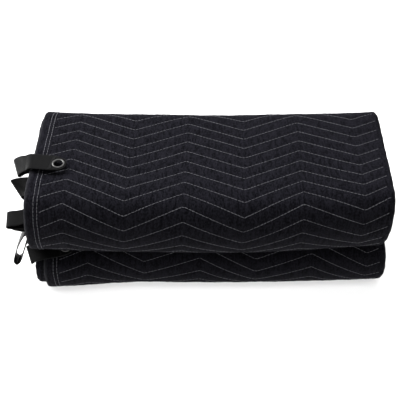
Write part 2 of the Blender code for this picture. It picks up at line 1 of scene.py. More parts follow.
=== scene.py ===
"""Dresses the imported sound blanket: quilted cloth, stitching, webbing tabs and eyelets.

The cloth is one true sheet. It is folded in three across its width and then
back and forth into eight layers, on the same folds as the solid that it
replaces. Stitches are real thread dashes that lie in the quilting's grooves.
Metres, +Z up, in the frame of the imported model.
"""

import logging
import math
from dataclasses import dataclass
from enum import Enum

import bpy
import numpy as np
from mathutils import Matrix, Vector


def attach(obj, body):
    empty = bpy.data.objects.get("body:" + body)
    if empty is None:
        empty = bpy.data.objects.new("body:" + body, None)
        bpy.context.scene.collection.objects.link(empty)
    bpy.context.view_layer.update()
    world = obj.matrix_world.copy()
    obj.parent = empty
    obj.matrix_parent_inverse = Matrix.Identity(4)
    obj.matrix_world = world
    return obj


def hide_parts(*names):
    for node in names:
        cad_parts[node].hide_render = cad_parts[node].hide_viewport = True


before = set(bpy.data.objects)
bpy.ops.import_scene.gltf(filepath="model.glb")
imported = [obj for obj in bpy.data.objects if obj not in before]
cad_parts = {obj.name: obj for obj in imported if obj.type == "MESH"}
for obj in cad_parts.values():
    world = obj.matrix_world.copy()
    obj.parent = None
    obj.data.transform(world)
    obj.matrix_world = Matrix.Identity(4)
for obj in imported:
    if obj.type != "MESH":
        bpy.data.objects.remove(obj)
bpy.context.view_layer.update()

LOG = logging.getLogger("sound_blanket")
SHIFT = np.array([0.008362, 0.004296, 0.000022])
BODY = "root"
UV_MAP = "cloth"
# Name of the point attribute that holds the painted edge highlight.
EDGE_HIGHLIGHT = "painted_edge_highlight"

Array = np.ndarray
Pair = tuple[float, float]
Place = tuple[float, float, float]
Colour = Edges = tuple[float, float, float, float]
Line = tuple[Array, Array]
Socket = bpy.types.NodeSocket
Material = bpy.types.Material
Piece = bpy.types.Object


# ---- numbers shared by the pieces
def smooth_step(value: Array, low: float, high: float) -> Array:
    """0 below low, 1 above high and a soft rise between."""
    share = np.clip((value - low) / (high - low), 0.0, 1.0)
    return share * share * (3.0 - 2.0 * share)


def run_length(points: Array) -> Array:
    """Length along a line of points, from its first one."""
    return np.concatenate([[0.0], np.cumsum(np.linalg.norm(np.diff(points, axis=0), axis=1))])


def spread(at: Array, known: Array, table: Array) -> Array:
    """Each column of a table that is known at some lengths, at other lengths."""
    return np.stack([np.interp(at, known, column) for column in table.T], axis=-1)


def unit(vectors: Array) -> Array:
    """The vectors, one a row, at length 1."""
    return vectors / np.linalg.norm(vectors, axis=-1, keepdims=True)


def way_round(section: Array) -> tuple[Array, float]:
    """Distance of each point round a closed section, and the whole way round."""
    gaps = np.linalg.norm(np.diff(section, axis=0, append=section[:1]), axis=1)
    return np.concatenate([[0.0], np.cumsum(gaps)[:-1]]), float(gaps.sum())


# ---- the folds
class Side(Enum):
    """The four edges across a layer, in the order in which the strip keeps them."""

    HEM = 0
    TURN = 1
    FOLD = 2
    TUCK = 3


@dataclass(frozen=True)
class Layer:
    """A layer of the stack: its share of the height and the X of its edges, in Side's order."""

    pitch: float
    front: Edges
    back: Edges


@dataclass(frozen=True)
class Run:
    """A straight run of the strip, and the bend that follows it."""

    layer: str
    start: float
    end: float
    reach: float | None = None
    power: float = 2.0


STACK = {
    "outer_low": Layer(0.0250, (-0.304, -0.326, 0.357, 0.347), (-0.304, -0.324, 0.354, 0.344)),
    "inner_low": Layer(0.0250, (-0.310, -0.314, 0.345, 0.350), (-0.310, -0.314, 0.345, 0.350)),
    "middle_low": Layer(0.0255, (-0.306, -0.318, 0.349, 0.340), (-0.306, -0.318, 0.349, 0.340)),
    "crease_low": Layer(0.0265, (-0.305, -0.322, 0.356, 0.347), (-0.305, -0.320, 0.352, 0.343)),
    "crease_high": Layer(0.0330, (-0.325, -0.316, 0.339, 0.330), (-0.325, -0.316, 0.341, 0.332)),
    "middle_high": Layer(0.0335, (-0.315, -0.321, 0.346, 0.338), (-0.315, -0.321, 0.346, 0.338)),
    "inner_high": Layer(0.0335, (-0.318, -0.312, 0.343, 0.347), (-0.318, -0.312, 0.343, 0.347)),
    "outer_high": Layer(0.0340, (-0.319, -0.319, 0.345, 0.336), (-0.319, -0.327, 0.355, 0.346)),
}
UPPER_FRONT_Y = -0.100
LOWER_FRONT_Y = -0.101
SPINE_Y = 0.0995
RUNS = (
    Run("inner_high", 0.100, -0.082),
    Run("middle_high", -0.082, 0.088),
    Run("crease_high", 0.088, UPPER_FRONT_Y, 0.033, 2.0),
    Run("outer_high", UPPER_FRONT_Y, SPINE_Y, 0.042, 3.0),
    Run("outer_low", SPINE_Y, LOWER_FRONT_Y, 0.033, 2.0),
    Run("crease_low", LOWER_FRONT_Y, 0.092),
    Run("middle_low", 0.092, -0.092),
    Run("inner_low", -0.092, 0.096),
)
# Numbers of the runs over the crease, on top, underneath and below the crease.
OVER_CREASE, TOP, BOTTOM, BELOW_CREASE = 2, 3, 4, 5
PLY = 1 / 3


@dataclass
class Strip:
    """The folded strip: where a point along it, across it and through it lies."""

    layer_gap: float = 0.002
    path_step: float = 0.001
    least_step: float = 1e-7
    anchor_y: float = -0.118
    anchor_shift: float = 0.0124
    bend_steps: int = 180

    def __post_init__(self) -> None:
        """Lays the middle line, then the outer face's length and the edges along it."""
        self.heights: dict[str, Pair] = {}
        self.stack_height = 0.0
        for name, layer in STACK.items():
            half = (layer.pitch - self.layer_gap) / 2
            middle = self.stack_height + layer.pitch / 2 if self.heights else half
            self.heights[name] = (middle, half)
            self.stack_height += layer.pitch
        self.at, self.line, self.spans = self.middle_line()
        tangent = unit(np.gradient(self.line, self.at, axis=0))
        self.normal = np.column_stack([-tangent[:, 1], tangent[:, 0]])
        ends = np.ravel(self.spans)
        halves = np.repeat([self.heights[run.layer][1] for run in RUNS], 2)
        self.half = np.interp(self.at, ends, halves)
        self.outer_at = run_length(self.line + self.normal * self.half[:, None])
        on_top = (self.at >= self.spans[TOP][0]) & (self.at <= self.spans[TOP][1])
        away = np.where(on_top, np.abs(self.line[:, 0] - self.anchor_y), np.inf)
        self.anchor = float(self.outer_at[np.argmin(away)] + self.anchor_shift)
        corners = []
        for run in RUNS:
            layer = STACK[run.layer]
            both = (layer.back, layer.front) if run.start > run.end else (layer.front, layer.back)
            corners.extend(both)
        self.edges = [np.interp(self.at, ends, values) for values in zip(*corners)]

    def middle_line(self) -> tuple[Array, Array, list[Pair]]:
        """Lays the middle line of the strip.

        Returns:
            Lengths along it, its Y and Z there, and the lengths at which each run starts and ends.
        """
        points = [np.array([[RUNS[0].start, self.heights[RUNS[0].layer][0]]])]
        marks = []
        for number, run in enumerate(RUNS):
            z = self.heights[run.layer][0]
            marks.append((points[-1][-1], np.array([run.end, z])))
            points.append(np.array([[run.end, z]]))
            if number + 1 < len(RUNS):
                points.append(self.bend(run, z, self.heights[RUNS[number + 1].layer][0]))
        line = np.concatenate(points)
        line = line[np.concatenate([[True], np.diff(run_length(line)) > self.least_step])]
        length = run_length(line)
        spans = [tuple(float(length[np.argmin(np.linalg.norm(line - mark, axis=1))])
                       for mark in pair) for pair in marks]
        at = np.linspace(0.0, length[-1], int(length[-1] / self.path_step))
        return at, spread(at, length, line), spans

    def bend(self, run: Run, z_from: float, z_to: float) -> Array:
        """A half superellipse from the end of a run to the next one.

        Args:
            run: The run.
            z_from: Its height.
            z_to: Height of the next run.

        Returns:
            Y and Z of the bend's points.
        """
        semi = (z_from - z_to) / 2
        reach = abs(semi) if run.reach is None else run.reach
        heading = math.copysign(1.0, run.end - run.start)
        angle = np.linspace(0.0, math.pi, self.bend_steps + 1)
        side, rise = np.sin(angle).clip(0.0), np.cos(angle)
        ys = run.end + heading * reach * side ** (2 / run.power)
        zs = (z_from + z_to) / 2 + semi * np.sign(rise) * np.abs(rise) ** (2 / run.power)
        return np.column_stack([ys, zs])

    def length_of(self, outer: Array) -> Array:
        """Length along the middle line for a length along the outer face."""
        return np.interp(outer, self.outer_at, self.at)

    def outer_of(self, length: Array) -> Array:
        """Length along the outer face for a length along the middle line."""
        return np.interp(length, self.at, self.outer_at)

    def edge(self, side: Side, length: float) -> float:
        """The X of one of the four edges at a length."""
        return float(np.interp(length, self.at, self.edges[side.value]))

    def place(self, length: Array, depth: Array, lift: Array) -> Line:
        """Where points of the plain stack lie.

        Args:
            length: Length along the middle line.
            depth: From -1, the inner face, to 1, the outer one.
            lift: Metres further out than that depth.

        Returns:
            Y and Z of the points.
        """
        y, z = spread(length, self.at, self.line).T
        ny, nz = spread(length, self.at, self.normal).T
        away = (np.interp(length, self.at, self.half) * depth + lift) / np.hypot(ny, nz)
        return y + ny * away, z + nz * away


@dataclass(frozen=True)
class Softness:
    """The sag, droop, bow and ripple of the whole bundle."""

    middle_x: float = 0.012
    half_width: float = 0.335
    sag: float = 0.034
    nose_droop: float = 0.105
    droop_from_y: float = -0.060
    droop_length: float = 0.088
    droop_limit: float = 1.3
    middle_hold: float = 0.25
    bow: float = 0.009
    bow_ys: Pair = (-0.10, 0.12)
    straight_back: Pair = (0.02, 0.13)
    ripple: float = 0.0012
    ripple_waves: Place = (19.0, 23.0, 7.0)
    ripple_phase: float = 0.8
    left_end: Pair = (0.1, 0.33)
    right_end: Pair = (0.08, 0.34)
    end_reach: float = 0.13
    lower_left_forward: float = 0.018
    upper_right_back: float = 0.006
    upper_right_lift: float = 0.40
    crease_z: float = 0.102
    crease_blend: float = 0.2
    press_at: Pair = (-0.276, -0.100)
    press_spread: Pair = (0.052, 0.036)
    press_lower: float = 0.055
    press_upper: float = 0.035

    def apply(self, x: Array, y: Array, z: Array) -> Array:
        """Moves points of the plain stack to where they lie in the soft bundle.

        Args:
            x: X of the points.
            y: Y of the points.
            z: Height of the points.

        Returns:
            The points, one a row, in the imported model's frame.
        """
        top = STRIP.stack_height
        height = z / top
        across = np.clip(1.0 - ((x - self.middle_x) / self.half_width) ** 2, 0.0, 1.0)
        droop = np.clip((self.droop_from_y - y) / self.droop_length, 0.0, self.droop_limit) ** 2
        back = np.clip((y - self.straight_back[0]) / self.straight_back[1], 0.0, 1.0) ** 2
        along_x, along_y, slant = self.ripple_waves
        wave = np.sin(along_x * x + self.ripple_phase) * np.cos(along_y * y + slant * x)
        blend = self.crease_blend * self.crease_z
        upper = smooth_step(z, self.crease_z - blend, self.crease_z + blend)
        right = smooth_step(x, *self.right_end) * upper
        hang = 1.0 - self.middle_hold * across - self.upper_right_lift * right
        drop = self.sag * across * height + self.nose_droop * droop * hang
        lower_left = smooth_step(-x, *self.left_end) * (1.0 - upper)
        ends = self.lower_left_forward * lower_left - self.upper_right_back * right
        forward = (self.bow * across * (1.0 - back) * smooth_step(-y, *self.bow_ys)
                   + ends * smooth_step(-y, 0.0, self.end_reach))
        press = np.exp(-((x - self.press_at[0]) / self.press_spread[0]) ** 2
                       - ((y - self.press_at[1]) / self.press_spread[1]) ** 2)
        above = self.press_upper * self.crease_z * (top - z) / (top - self.crease_z)
        push = press * np.where(z < self.crease_z, -self.press_lower * z, above)
        lowered = z * (1.0 - drop) + push + self.ripple * wave * height
        return np.column_stack([x, y - forward, lowered]) + SHIFT


STRIP = Strip()
SOFTNESS = Softness()


# ---- mesh helpers
def deselect() -> None:
    """Deselects every object, so that an operator acts on the new piece alone."""
    for item in bpy.context.selected_objects:
        item.select_set(False)


def set_mode(name: str) -> None:
    """Switches the active object between its edit and object modes."""
    bpy.ops.object.mode_set(mode=name)


def add_piece(name: str, mesh: bpy.types.Mesh, smooth_angle: float | None = None) -> Piece:
    """Shades a mesh smooth, links it as an object and reports it.

    Args:
        name: Name of the piece.
        mesh: Its mesh.
        smooth_angle: Edges sharper than this, in degrees, stay sharp.

    Returns:
        The new object.
    """
    mesh.shade_smooth()
    if smooth_angle is not None:
        mesh.set_sharp_from_angle(angle=math.radians(smooth_angle))
    item = bpy.data.objects.new(name, mesh)
    bpy.context.collection.objects.link(item)
    LOG.info("%s: %d faces", name, len(mesh.polygons))
    return item


def loft(name: str, rings: Array, u: Array, v: Array, around: Array, smooth_angle: float) -> Piece:
    """Makes a closed, capped piece through rings of points, with a UV map in metres.

    Args:
        name: Name of the piece.
        rings: The points, rings by count by three.
        u: Distance of each point round its ring.
        v: Distance of each point along the piece.
        around: The whole way round each ring.
        smooth_angle: Edges sharper than this, in degrees, stay sharp.

    Returns:
        The new object.
    """
    count, points = rings.shape[1], rings.reshape(-1, 3)
    row = np.arange(len(rings) - 1)[:, None] * count
    near = np.arange(count)[None, :]
    after = (near + 1) % count
    faces = np.stack([row + near, row + after, row + count + after, row + count + near], axis=-1)
    faces = faces.reshape(-1, 4)
    caps = [list(range(count))[::-1], list(range(len(points) - count, len(points)))]
    mesh = bpy.data.meshes.new(name)
    mesh.from_pydata(points.tolist(), [], faces.tolist() + caps)
    u_after, v_after = np.column_stack([u[:, 1:], around]), np.roll(v, -1, axis=1)
    corners = [(u[:-1], v[:-1]), (u_after[:-1], v_after[:-1]), (u_after[1:], v_after[1:]),
               (u[1:], v[1:])]
    uv = np.zeros((len(mesh.loops), 2))
    uv[:faces.size] = np.stack([np.stack(pair, axis=-1) for pair in corners], axis=2).reshape(-1, 2)
    mesh.uv_layers.new(name=UV_MAP).data.foreach_set("uv", uv.ravel())
    corner = points[faces]
    turned = np.cross(corner[:, 1] - corner[:, 3], corner[:, 2] - corner[:, 0])
    if np.einsum("ij,ij->i", corner[:, 0], turned).sum() < 0:
        mesh.flip_normals()
    mesh.validate()
    return add_piece(name, mesh, smooth_angle)


# ---- shader nodes
class Nodes:
    """A node tree, with short calls that add to it."""

    def __init__(self, tree: bpy.types.NodeTree) -> None:
        """Takes the tree that the calls add to."""
        self.tree = tree

    def add(self, kind: str, settings: dict | None = None, **links: object) -> bpy.types.Node:
        """Adds a node.

        Args:
            kind: The node's type, without ShaderNode.
            settings: Values of the node's own properties.
            links: What goes in each socket, a socket or a value. A name is the
                socket's, with _ for a space, or in_ and its number.

        Returns:
            The new node.
        """
        node = self.tree.nodes.new("ShaderNode" + kind)
        for name, value in (settings or {}).items():
            setattr(node, name, value)
        for name, value in links.items():
            key = int(name[3:]) if name.startswith("in_") else name.replace("_", " ")
            if isinstance(value, bpy.types.NodeSocket):
                self.tree.links.new(value, node.inputs[key])
            else:
                node.inputs[key].default_value = value
        return node

    def math(self, operation: str, *values: object, clamp: bool = False) -> Socket:
        """Adds a Math node and returns its result."""
        links = {f"in_{number}": value for number, value in enumerate(values)}
        return self.add("Math", {"operation": operation, "use_clamp": clamp}, **links).outputs[0]

    def scaled(self, value: object, by: object, plus: object, clamp: bool = False) -> Socket:
        """Adds a node that multiplies a value, then adds to it, and returns its result."""
        return self.math("MULTIPLY_ADD", value, by, plus, clamp=clamp)

    def mix(self, factor: object, low: object, high: object) -> Socket:
        """Adds a colour Mix node and returns its result."""
        return self.add("Mix", {"data_type": "RGBA"}, in_0=factor, in_6=low, in_7=high).outputs[2]


class ShaderGroup(Nodes):
    """A shader node group with named sockets, built once and shared by materials."""

    def __init__(self, name: str, inputs: dict[str, float | None], outputs: list[str]) -> None:
        """Makes an empty group.

        Args:
            name: Name of the group.
            inputs: Start value of each number that goes in, or None for a vector.
            outputs: Names of the numbers that come out.
        """
        super().__init__(bpy.data.node_groups.new(name, "ShaderNodeTree"))
        sockets = self.tree.interface
        for label, value in inputs.items():
            kind = "NodeSocketVector" if value is None else "NodeSocketFloat"
            socket = sockets.new_socket(label, in_out="INPUT", socket_type=kind)
            if value is not None:
                socket.default_value = value
        for label in outputs:
            sockets.new_socket(label, in_out="OUTPUT", socket_type="NodeSocketFloat")
        self.source = self.tree.nodes.new("NodeGroupInput").outputs
        self.target = self.tree.nodes.new("NodeGroupOutput").inputs

    def give(self, **results: Socket) -> None:
        """Links results to the sockets that come out."""
        for name, result in results.items():
            self.tree.links.new(result, self.target[name])


def weave_group() -> bpy.types.NodeTree:
    """Warp and weft threads that cross over and under each other.

    Returns:
        A group with Vector, Warp and Weft (threads a metre) and Ragged in, and
        Height and Tint, from 0 to 1, out.
    """
    group = ShaderGroup("weave", {"Vector": None, "Warp": 1200.0, "Weft": 1200.0, "Ragged": 0.3},
                        ["Height", "Tint"])
    vector = group.source["Vector"]
    wander = group.add("TexNoise", Vector=vector, Scale=180.0, Detail=2.0).outputs[0]
    bent = group.math("MULTIPLY", group.math("SUBTRACT", wander, 0.5), group.source["Ragged"])
    axes = group.add("SeparateXYZ", Vector=vector).outputs
    waves = []
    for axis, name in enumerate(("Warp", "Weft")):
        place = group.scaled(axes[axis], group.source[name], bent)
        waves.append(group.math("SINE", group.math("MULTIPLY", place, math.pi)))
    height = group.scaled(group.math("MULTIPLY", *waves), 0.5, 0.5)
    fuzz = group.add("TexNoise", Vector=vector, Scale=900.0, Detail=3.0).outputs[0]
    group.give(Height=group.scaled(fuzz, 0.5, height),
               Tint=group.scaled(fuzz, 0.6, group.math("MULTIPLY", height, 0.4)))
    return group.tree


def clouds_group() -> bpy.types.NodeTree:
    """Slow changes of shade over a surface, with finer ones on them.

    Returns:
        A group with Vector, Scale and Streak (how far the clouds are drawn out
        along V) in, and Value, from 0 to 1, out.
    """
    group = ShaderGroup("clouds", {"Vector": None, "Scale": 6.0, "Streak": 1.0}, ["Value"])
    axes = group.add("SeparateXYZ", Vector=group.source["Vector"]).outputs
    drawn = group.math("MULTIPLY", axes[1], group.source["Streak"])
    place = group.add("CombineXYZ", X=axes[0], Y=drawn, Z=axes[2]).outputs[0]
    group.give(Value=group.add("TexNoise", Vector=place, Scale=group.source["Scale"], Detail=4.0,
                               Roughness=0.6).outputs[0])
    return group.tree


def shared_group(name: str) -> bpy.types.NodeTree:
    """The shader group of that name, built when it is first asked for."""
    return bpy.data.node_groups.get(name) or {"weave": weave_group, "clouds": clouds_group}[name]()


class Paint(Nodes):
    """A material's tree, with its shader in place."""

    def __init__(self, finish: "Finish") -> None:
        """Makes the material.

        Args:
            finish: Its name and the values that are the same all over.
        """
        self.material = bpy.data.materials.new(finish.name)
        self.material.use_nodes = True
        super().__init__(self.material.node_tree)
        self.shader = self.tree.nodes["Principled BSDF"].inputs
        self.shader["Roughness"].default_value = finish.roughness
        self.shader["Metallic"].default_value = finish.metallic
        self.shader["Sheen Weight"].default_value = finish.sheen
        self.shader["Specular IOR Level"].default_value = finish.specular

    def uv(self) -> Socket:
        """The piece's own UV map, in metres."""
        return self.add("UVMap", {"uv_map": UV_MAP}).outputs[0]

    def object_place(self) -> Socket:
        """The Object coordinates."""
        return self.add("TexCoord").outputs["Object"]

    def clouds(self, vector: Socket, scale: float, streak: float = 1.0) -> Socket:
        """Adds the clouds group and returns its value."""
        return self.add("Group", {"node_tree": shared_group("clouds")}, Vector=vector, Scale=scale,
                        Streak=streak).outputs[0]

    def weave(self, warp: float, weft: float, ragged: float) -> bpy.types.Node:
        """Adds the weave group on the UV map."""
        return self.add("Group", {"node_tree": shared_group("weave")}, Vector=self.uv(), Warp=warp,
                        Weft=weft, Ragged=ragged)

    def coat(self, colour: Socket, rough: Socket | None, height: Socket, depth: float) -> Material:
        """Links the colour, the roughness and a bump to the shader.

        Args:
            colour: The base colour.
            rough: The roughness, or None to keep the finish's own.
            height: The bump's height, from 0 to 1.
            depth: Metres that a height of 1 stands for.

        Returns:
            The material.
        """
        self.tree.links.new(colour, self.shader["Base Color"])
        if rough is not None:
            self.tree.links.new(rough, self.shader["Roughness"])
        bump = self.add("Bump", Strength=1.0, Distance=depth, Height=height)
        self.tree.links.new(bump.outputs["Normal"], self.shader["Normal"])
        return self.material


# ---- finishes
@dataclass(frozen=True)
class Finish:
    """A finish: the values of its shader that are the same all over."""

    name: str
    roughness: float = 0.8
    metallic: float = 0.0
    sheen: float = 0.0
    specular: float = 0.5


@dataclass(frozen=True)
class QuiltedCloth(Finish):
    """Black woven cloth with a faint blue cast, puckered along its quilting, with painted shade in
    its puckers and a painted highlight along its cut edges.
    """

    dark: Colour = (0.0022, 0.0022, 0.0032, 1.0)
    light: Colour = (0.0100, 0.0097, 0.0132, 1.0)
    # Colour of the painted highlight along the cut edges.
    edge_highlight: Colour = (0.050, 0.050, 0.055, 1.0)
    threads_a_metre: float = 900.0
    slow: Pair = (9.0, 0.6)
    slow_shade: float = 0.35
    pucker: Pair = (200.0, 0.25)
    # Strength of the painted shade along the puckers.
    painted_pucker_shade: float = 3.0
    pucker_height: float = 5.0
    grain: Pair = (380.0, 0.7)
    grain_shade: float = 4.0
    grain_height: float = 3.0
    ragged: Pair = (160.0, 0.35)
    depth: float = 0.00032

    def material(self) -> Material:
        """Builds the material on the cloth's own UV map.

        Returns:
            The material.
        """
        paint = Paint(self)
        uv = paint.uv()
        weave = paint.weave(self.threads_a_metre, self.threads_a_metre, 1.2).outputs
        pucker, grain = paint.clouds(uv, *self.pucker), paint.clouds(uv, *self.grain)
        woven = paint.scaled(weave["Tint"], 0.5, 0.12)
        shade = paint.scaled(paint.clouds(uv, *self.slow), self.slow_shade, woven)
        # Painted shade: darker and lighter streaks along the puckers, standing in for their
        # shading.
        shade = paint.scaled(paint.math("SUBTRACT", pucker, 0.5), self.painted_pucker_shade, shade)
        shade = paint.scaled(paint.math("SUBTRACT", grain, 0.5), self.grain_shade, shade, True)
        # Painted highlight: a ragged lighter colour along the cut edges, standing in for light
        # catching the turned hem.
        painted_highlight = paint.add("Attribute", {"attribute_name": EDGE_HIGHLIGHT}).outputs["Fac"]
        ragged = paint.scaled(paint.clouds(uv, *self.ragged), 2.6, -0.75, True)
        edge_highlight = paint.math("MULTIPLY", painted_highlight, ragged, clamp=True)
        colour = paint.mix(edge_highlight, paint.mix(shade, self.dark, self.light), self.edge_highlight)
        rough = paint.scaled(shade, -0.12, self.roughness + 0.06)
        height = paint.scaled(pucker, self.pucker_height, weave["Height"])
        return paint.coat(colour, rough, paint.scaled(grain, self.grain_height, height), self.depth)


@dataclass(frozen=True)
class Thread(Finish):
    """Spun thread, with its twist, painted highlights on the twist's bands and painted shade that
    changes from stitch to stitch.
    """

    colour: Colour = (0.16, 0.16, 0.175, 1.0)
    # The same thread in painted shade.
    painted_shade_colour: Colour = (0.075, 0.075, 0.084, 1.0)
    twists_a_metre: float = 900.0
    depth: float = 0.00012

    def material(self) -> Material:
        """Builds the material on Object coordinates.

        Returns:
            The material.
        """
        paint = Paint(self)
        place = paint.object_place()
        twist = paint.add("TexWave", {"bands_direction": "DIAGONAL"}, Vector=place,
                          Scale=self.twists_a_metre, Distortion=1.0).outputs["Fac"]
        # Painted highlight on the twist's bands and painted shade from stitch to stitch: a mix of
        # the thread's lit and shaded colours.
        painted_twist_highlight = paint.math("MULTIPLY", twist, 0.2)
        share = paint.scaled(paint.clouds(place, 70.0), 1.5, painted_twist_highlight, True)
        share = paint.math("SUBTRACT", share, 0.15, clamp=True)
        return paint.coat(paint.mix(share, self.painted_shade_colour, self.colour), None, twist, self.depth)


@dataclass(frozen=True)
class Webbing(Finish):
    """Black woven webbing, with close ribs across it and a satin gloss."""

    dark: Colour = (0.0030, 0.0030, 0.0031, 1.0)
    light: Colour = (0.0086, 0.0086, 0.0088, 1.0)
    ribs_a_metre: float = 820.0
    warps_a_metre: float = 560.0
    depth: float = 0.00016

    def material(self) -> Material:
        """Builds the material on the webbing's own UV map.

        Returns:
            The material.
        """
        paint = Paint(self)
        weave = paint.weave(self.warps_a_metre, self.ribs_a_metre, 0.4).outputs
        slow = paint.clouds(paint.uv(), 45.0, 2.2)
        shade = paint.scaled(slow, 0.7, paint.math("MULTIPLY", weave["Tint"], 0.45), True)
        colour = paint.mix(shade, self.dark, self.light)
        rough = paint.scaled(slow, 0.24, self.roughness - 0.12)
        return paint.coat(colour, rough, weave["Height"], self.depth)


@dataclass(frozen=True)
class PlatedMetal(Finish):
    """Nickel plate with fine rubbed scratches and a little tarnish."""

    bright: Colour = (0.40, 0.397, 0.392, 1.0)
    tarnished: Colour = (0.22, 0.217, 0.212, 1.0)
    depth: float = 0.00004

    def material(self) -> Material:
        """Builds the material on Object coordinates.

        Returns:
            The material.
        """
        paint = Paint(self)
        place = paint.object_place()
        scratch = paint.clouds(place, 900.0, 0.15)
        dull = paint.scaled(paint.clouds(place, 160.0), 2.2, -0.8, True)
        rough = paint.scaled(scratch, 0.22, self.roughness - 0.06)
        return paint.coat(paint.mix(dull, self.bright, self.tarnished), rough, scratch, self.depth)


# ---- quilted blanket
FOLD_ANGLES = np.radians([68, 46, 24, 4, -18, -40, -62, -82])
TURN_ANGLES = np.radians([-82, -62, -40, -18, 4, 24, 46, 68, 82])
FOLD_IN, TURN_IN = (1 - np.cos(angles) ** 0.8 for angles in (FOLD_ANGLES, TURN_ANGLES))
HEM_BAND = np.array([0.004, 0.007, 0.0115, 0.0150, 0.0170, 0.0192, 0.0216, 0.0236, 0.0258, 0.0292])
# The cut edges' points: how far in from the edge, at what depth and how far lifted.
TUCK_CUT = np.array([(0.0006, -0.42, -0.0008), (0.0, -0.55, 0.0), (0.0, -0.78, 0.0),
                     (0.0014, -0.93, 0.0), (0.0050, -1.0, 0.0)]).T
HEM_CUT = np.array([(0.0010, PLY + 0.10, 0.0006), (0.0, 0.56, 0.0), (0.0, 0.78, 0.0),
                    (0.0012, 0.93, 0.0)]).T


@dataclass(frozen=True)
class Quilt:
    """The zigzag quilting on the outer ply."""

    repeat: float = 0.215
    spacing: float = 0.0257
    rise: float = 0.0445
    peak_x: float = -0.248
    slant: float = 0.037
    slant_limits: Pair = (-0.3, 0.75)
    low_tilt: float = 0.095
    low_shift: float = 0.0080
    groove: float = 0.0017
    roundness: float = 0.62
    peaks: int = 11

    def shift(self, from_anchor: float) -> float:
        """How far the peaks stand to the right at a length from the anchor."""
        return self.slant * float(np.clip(from_anchor, *self.slant_limits))

    def offset(self, x: Array, base: float) -> Array:
        """How far along the strip a line that runs across it is moved at X.

        Args:
            x: X of the points.
            base: Length of the line along the outer face.

        Returns:
            Metres along the outer face.
        """
        phase = (x - self.shift(base - STRIP.anchor) - self.peak_x) / self.repeat
        zigzag = self.rise * (np.abs(phase - np.floor(phase) - 0.5) * 2 - 0.5)
        ends = (float(STRIP.outer_of(STRIP.spans[run][1])) for run in (TOP, BOTTOM))
        return zigzag + (self.low_shift - self.low_tilt * x) * smooth_step(np.float64(base), *ends)

    def peak_columns(self, from_anchor: float) -> Array:
        """X of the peaks, valleys and the middles between them."""
        return self.peak_x + self.shift(from_anchor) + self.repeat / 4 * np.arange(self.peaks)


@dataclass(frozen=True)
class Row:
    """A row of points across the strip."""

    base: float
    length: float
    fade: float
    phase: float
    channel: int
    relief: float
    narrow: float = 1.0


